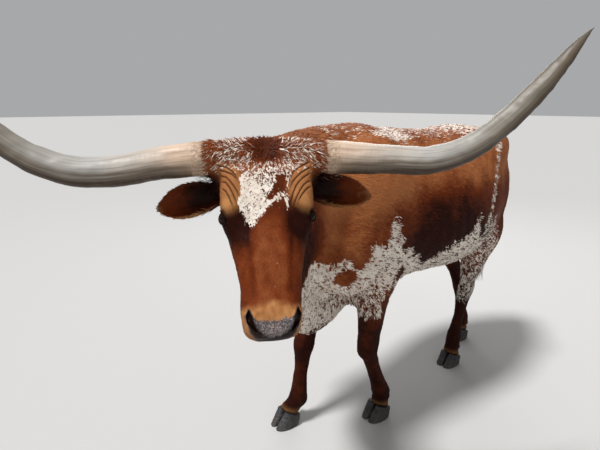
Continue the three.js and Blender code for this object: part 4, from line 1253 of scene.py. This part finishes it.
def makeHornPaint():
    graph = Graph("horn", 0.42, 0.25)
    place = graph.attribute("hornPlace", "Vector")
    share = graph.attribute("share")
    upper = graph.attribute("upper")
    crust = graph.attribute("crust")
    drift = (graph.noise(graph.objectPlace(), 7, 3) - 0.5) * 0.16
    color = graph.ramp((share + drift).clamped(), [
        (0.00, (0.52, 0.38, 0.28)), (0.08, (0.58, 0.42, 0.31)), (0.20, (0.43, 0.38, 0.325)),
        (0.34, (0.36, 0.35, 0.33)), (0.60, (0.20, 0.185, 0.155)), (0.80, (0.135, 0.116, 0.090)),
        (0.96, (0.075, 0.058, 0.043))])
    lines = graph.noise(graph.stretched(place, (150, 150, 5)), 1.0, 4, 0.6)
    broad = graph.noise(graph.stretched(place, (38, 38, 3.5)), 1.0, 3, 0.6)
    bands = graph.noise(graph.stretched(place, (6, 6, 150)), 1.0, 2)
    nearBase = ((0.42 - share) * 3.0).clamped()
    # the lower side of each horn browner and darker: partly its own brown, partly painted shade
    lowerBrownAndShade = (((lines - 0.5) * 1.2 - upper + 0.42) * 1.5).clamped() * ((share + 0.14) * 5).clamped()
    undersideDarkAndShade = (((lines - 0.5) * 0.9 - upper - 0.06) * 1.7).clamped() * ((share + 0.10) * 5).clamped()
    flakes = graph.noise(place, 170, 3, 0.65)
    crusty = graph.mix(((flakes - 0.40) * 3).clamped(), (0.27, 0.17, 0.11), (0.58, 0.45, 0.33))
    for amount, layer in (
        (((lines - 0.46) * 4.0).clamped() * 0.50, (0.15, 0.10, 0.07)),
        (((broad - 0.48) * 3.2).clamped() * 0.22, (0.56, 0.53, 0.48)),
        (lowerBrownAndShade * 0.62, (0.135, 0.096, 0.058)),
        (undersideDarkAndShade * 0.96, (0.034, 0.018, 0.008)),
        (((bands - 0.56) * 3.0).clamped() * nearBase * 0.26, (0.30, 0.19, 0.13)),
        (crust * 0.75, crusty),
    ):
        color = graph.mix(amount, color, layer)
    graph.color(color)
    graph.rough(0.36 + crust * 0.25 + lines * 0.14)
    graph.bump(lines * 0.5 + bands * nearBase * 0.6 + flakes * crust * 0.9, 0.0012, 0.75)
    return graph.material


# Hooves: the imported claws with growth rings, and the two small dewclaws behind each fetlock.
hooves = {"voxel": 0.0026, "ringApart": 0.0062, "ringDeep": 0.0006, "uneven": 0.0008}
legs = [f"{leg}_{side}" for leg in ("foreleg", "hindleg") for side in ("left", "right")]


def buildHooves():
    claws = [f"claw_{leg}_{half}" for leg in legs for half in ("left", "right")]
    hoof = remeshedCopy(claws, "hooves", hooves["voxel"], 5)
    points = vertexPlaces(hoof)
    normals = vertexNormals(hoof)
    ring = waves(points[:, 2] + 0.0022 * softNoise(points, 0.05, 61), hooves["ringApart"])
    lift = hooves["ringDeep"] * ring * ease(1 - np.abs(normals[:, 2]), 0.2, 0.6)
    lift += hooves["uneven"] * softNoise(points, 0.02, 62)
    points = points + normals * (lift * ease(points[:, 2], 0.001, 0.006))[:, None]
    points[:, 2] = np.maximum(points[:, 2], 0)
    movePlaces(hoof, points)
    store(hoof, "height", points[:, 2])
    finishPiece(hoof, hoofPaint, claws)


dewclaws = {"size": (0.0120, 0.0120, 0.0170), "droop": 0.35, "height": 0.096, "apart": 0.020, "lean": -34,
            "sunk": 0.0045}


def buildDewclaws(skinPlaces):
    lean = np.array(Matrix.Rotation(math.radians(dewclaws["lean"]), 3, "X"))
    pieces = []
    for leg in legs:
        corners = [corner for half in ("left", "right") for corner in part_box(f"claw_{leg}_{half}")]
        middle = sum(corners, Vector()) / 4
        for side in (-1, 1):
            spot = np.array([middle.x + side * dewclaws["apart"], middle.y, dewclaws["height"]])
            near = np.all(np.abs(skinPlaces - spot) < np.array([0.012, 0.16, 0.012]), axis=1)
            spot[1] = skinPlaces[near, 1].max() - dewclaws["sunk"]
            bpy.ops.object.select_all(action="DESELECT")
            bpy.ops.mesh.primitive_uv_sphere_add(segments=24, ring_count=16, radius=1, location=(0, 0, 0))
            claw = bpy.context.object
            places = vertexPlaces(claw)
            places[:, 2] -= dewclaws["droop"] * np.maximum(places[:, 1], 0)
            movePlaces(claw, places * np.array(dewclaws["size"]) @ lean.T + spot)
            pieces.append(claw)
    piece = joined(pieces, "dewclaws")
    store(piece, "height", vertexPlaces(piece)[:, 2])
    finishPiece(piece, hoofPaint)


def makeHoofPaint():
    graph = Graph("hoof", 0.48, 0.45)
    place = graph.objectPlace()
    bands = graph.noise(graph.stretched(place, (9, 9, 260)), 1.0, 3)
    dust = graph.noise(place, 45, 4, 0.6)
    dusty = ((dust - 0.38) * 2.4 + (0.03 - graph.attribute("height")) * 9).clamped()
    color = graph.mix(((bands - 0.42) * 3).clamped(), (0.012, 0.012, 0.014), (0.044, 0.042, 0.045))
    graph.color(graph.mix(dusty * 0.40, color, (0.13, 0.100, 0.075)))
    graph.rough(0.42 + dust * 0.35)
    graph.bump(bands * 0.8 + dust * 0.5, 0.0012, 0.8)
    return graph.material


def buildEye(word):
    side = np.array([1 if word == "left" else -1, 1, 1])
    bpy.ops.object.select_all(action="DESELECT")
    bpy.ops.mesh.primitive_uv_sphere_add(segments=64, ring_count=48, radius=eye["radius"], location=(0, 0, 0))
    ball = bpy.context.object
    ball.name = f"eyeball{word.title()}"
    points = vertexPlaces(ball)
    store(ball, "irisPlace", points / eye["radius"])
    gaze = unit(eye["gaze"] * side)
    up = unit(np.array([0.0, 0.0, 1.0]) - gaze * gaze[2])
    far = np.hypot(points[:, 0], points[:, 1]) / eye["radius"]
    points[:, 2] += np.where(points[:, 2] > 0, eye["bulge"] * fade(far, 0.15, 0.72), 0)
    turn = np.stack([np.cross(gaze, up), up, gaze])
    movePlaces(ball, fromHead(points @ turn + headPose["eye"] * side))
    finishPiece(ball, eyePaint, [f"eye_{word}"])


def makeEyePaint():
    graph = Graph("eyeball", 0.05, 0.10)
    place = graph.attribute("irisPlace", "Vector")
    ring = graph.length(graph.stretched(place, (1, 1, 0)))
    slot = graph.length(graph.stretched(place, (1.0, 2.3, 0)))
    iris = graph.mix(graph.noise(place, 9, 3), (0.007, 0.003, 0.002), (0.026, 0.010, 0.005))
    white = graph.mix(((ring - 0.86) * 8).clamped(), (0.020, 0.010, 0.008), (0.12, 0.07, 0.055))
    color = graph.mix(((ring - 0.66) * 14).clamped(), iris, white)
    graph.color(graph.mix(((0.42 - slot) * 16).clamped(), color, (0.002, 0.002, 0.003)))
    return graph.material


# Long single strands, three-sided and tapered, given as rows of points from root to tip.
def growStrands(name, line, across, outward, size, unwrap):
    rows = line.shape[1]
    t = np.linspace(0, 1, rows)[None, :, None]
    size = size[:, None, None] * (1 - t ** 2.2) + 0.0001
    across = across[:, None] * size
    outward = outward[:, None] * size * 0.6
    places = np.stack([line - across, line + across, line + outward], axis=2).reshape(-1, 3)
    faces = []
    for k in range(0, rows * 3 - 3, 3):
        for a, b in ((0, 1), (1, 2), (2, 0)):
            faces.append((k + a, k + 3 + b, k + b))
            faces.append((k + a, k + 3 + a, k + 3 + b))
    end = rows * 3 - 3
    faces += [(0, 1, 2), (end, end + 2, end + 1)]
    onePatch = np.stack([np.tile([-0.5, 0.5, 0.0], rows), np.repeat(np.linspace(-0.5, 0.5, rows), 3)], axis=1)
    return meshOfMany(name, places, np.array(faces), onePatch, unwrap)


# Upper lashes of both eyes.
lashes = {"count": 64, "length": 0.013, "width": 0.00042, "rows": 6, "curl": 0.55, "stray": 0.07}


def growLashes():
    draw = np.random.default_rng(95)
    count = lashes["count"]
    gaze, corner, above = eyeAxes()
    lines, acrosses, outwards = [], [], []
    t = np.linspace(0, 1, lashes["rows"])[None, :, None]
    for side in (1, -1):
        along = np.linspace(-0.86, 0.80, count) * eye["reach"] + draw.normal(0, 0.01, count)
        high = eye["upper"] * (1 - (along / eye["reach"]) ** 2) + 0.09
        start = unit(gaze + along[:, None] * corner + high[:, None] * above)
        root = np.array(headPose["eye"]) + start * (eye["radius"] + eye["lid"] - 0.0006)
        way = 0.85 * start - 0.35 * above + 0.30 * along[:, None] * corner
        way = unit(way + draw.normal(0, lashes["stray"], (count, 3)))
        length = lashes["length"] * draw.uniform(0.6, 1.1, count) * (1 - 0.4 * np.abs(along))
        length = length[:, None, None]
        line = root[:, None] + way[:, None] * t * length + above * t ** 2 * length * lashes["curl"]
        across = unit(np.cross(way, above))
        mirror = np.array([side, 1, 1])
        lines.append(fromHead(line * mirror))
        acrosses.append(across * mirror @ headAxes.T)
        outwards.append(np.cross(across, way) * mirror @ headAxes.T)
    line = np.concatenate(lines)
    unwrap = np.stack([np.linspace(0.02, 0.98, len(line)), np.full(len(line), 0.5)], axis=1)
    size = np.full(len(line), lashes["width"])
    piece = growStrands("lashes", line, np.concatenate(acrosses), np.concatenate(outwards), size, unwrap)
    finishPiece(piece, lashPaint)


def makeLashPaint():
    graph = Graph("lash", 0.5, 0.2)
    graph.color((0.012, 0.008, 0.006, 1))
    return graph.material


# The switch: long wavy strands from the end of the tail.
switch = {
    "strands": 460,
    "wave": 0.010,
    "width": 0.0026,
    "steps": 9,
    "overlap": 0.05,
    "root": 0.014,  # radius of the tail's end
    "roots": 0.42,  # share of the drop that the roots are spread over
    "lengths": (0.42, 0.75),  # shares of the drop
}


def buildSwitch():
    draw = np.random.default_rng(91)
    low, high = [np.array(corner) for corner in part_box("tail_switch")]
    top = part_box("tail")[0].z + switch["overlap"]
    drop = top - low[2]
    middle = (low + high) / 2
    reach = (high - low) / 2 - 0.012
    count = switch["strands"]
    steps = switch["steps"]
    angle = draw.uniform(0, 2 * math.pi, count)
    start = draw.uniform(0, 1, count) ** 1.3
    rootZ = top - start * drop * switch["roots"]
    rootR = switch["root"] * (1 - 0.5 * start)[:, None]
    length = np.minimum(draw.uniform(*switch["lengths"], count) * drop, rootZ - low[2] - 0.004)
    spread = draw.uniform(0.10, 0.92, count)
    t = np.linspace(0, 1, steps + 1)[None, :]
    swell = np.sin(np.clip(t * 1.25, 0, 1) * math.pi * 0.62) * spread[:, None]
    phase = draw.uniform(0, 6.3, count)[:, None]
    waviness = switch["wave"] * t * np.sin(t * draw.uniform(5, 11, count)[:, None] + phase)
    outward = np.stack([np.cos(angle), np.sin(angle), 0 * angle], axis=1)
    across = np.stack([-np.sin(angle), np.cos(angle), 0 * angle], axis=1)
    x, y = [middle[k] + outward[:, k:k + 1] * (rootR + swell * reach[k]) + waviness for k in range(2)]
    line = np.stack([x, y, rootZ[:, None] - t * length[:, None]], axis=2)
    below = (rootZ - rootZ.min()) / np.ptp(rootZ)
    unwrap = np.stack([angle / (2 * math.pi) * 0.98 + 0.01, 0.02 + 0.96 * below], axis=1)
    size = switch["width"] * draw.uniform(0.6, 1.5, count)
    piece = growStrands("switch", line, across, outward, size, unwrap)
    store(piece, "stray", np.repeat(draw.uniform(0, 1, count), (steps + 1) * 3))
    store(piece, "reach", np.tile(np.repeat(t[0], 3), count))
    finishPiece(piece, switchPaint, ["tail_switch"])


def makeSwitchPaint():
    graph = Graph("switchHair", 0.42, 0.45)
    shade = graph.attribute("stray") * 0.6 + graph.attribute("reach") * 0.4
    graph.color(graph.ramp(shade.clamped(), [
        (0.0, (0.045, 0.013, 0.007)), (0.5, (0.14, 0.042, 0.018)), (0.85, (0.30, 0.13, 0.06)),
        (1.0, (0.50, 0.40, 0.32))]))
    return graph.material


print("camera and studio")
addCamera()
addStudio()
print("skin")
skin = buildSkin()
addEars(skin)
surface = skinSurface(skin)
print("skin triangles", len(surface["area"]))
skinPlaces = vertexPlaces(skin)
for name, values in paint(skinPlaces).items():
    store(skin, name, values)
store(skin, "furPlace", furPlace(skinPlaces))
finishPiece(skin, makeSkinPaint(), skinForm["nodes"] + ["ear_left", "ear_right"])
print("horns, hooves and eyes")
hornPaint = makeHornPaint()
hoofPaint = makeHoofPaint()
eyePaint = makeEyePaint()
for word in ("left", "right"):
    buildHorn(word)
    buildEye(word)
buildHooves()
buildDewclaws(skinPlaces)
print("coat")
coatPaint = makeCoatPaint()
growCoat(surface)
growFringe(surface)
print("switch and lashes")
switchPaint = makeSwitchPaint()
buildSwitch()
lashPaint = makeLashPaint()
growLashes()
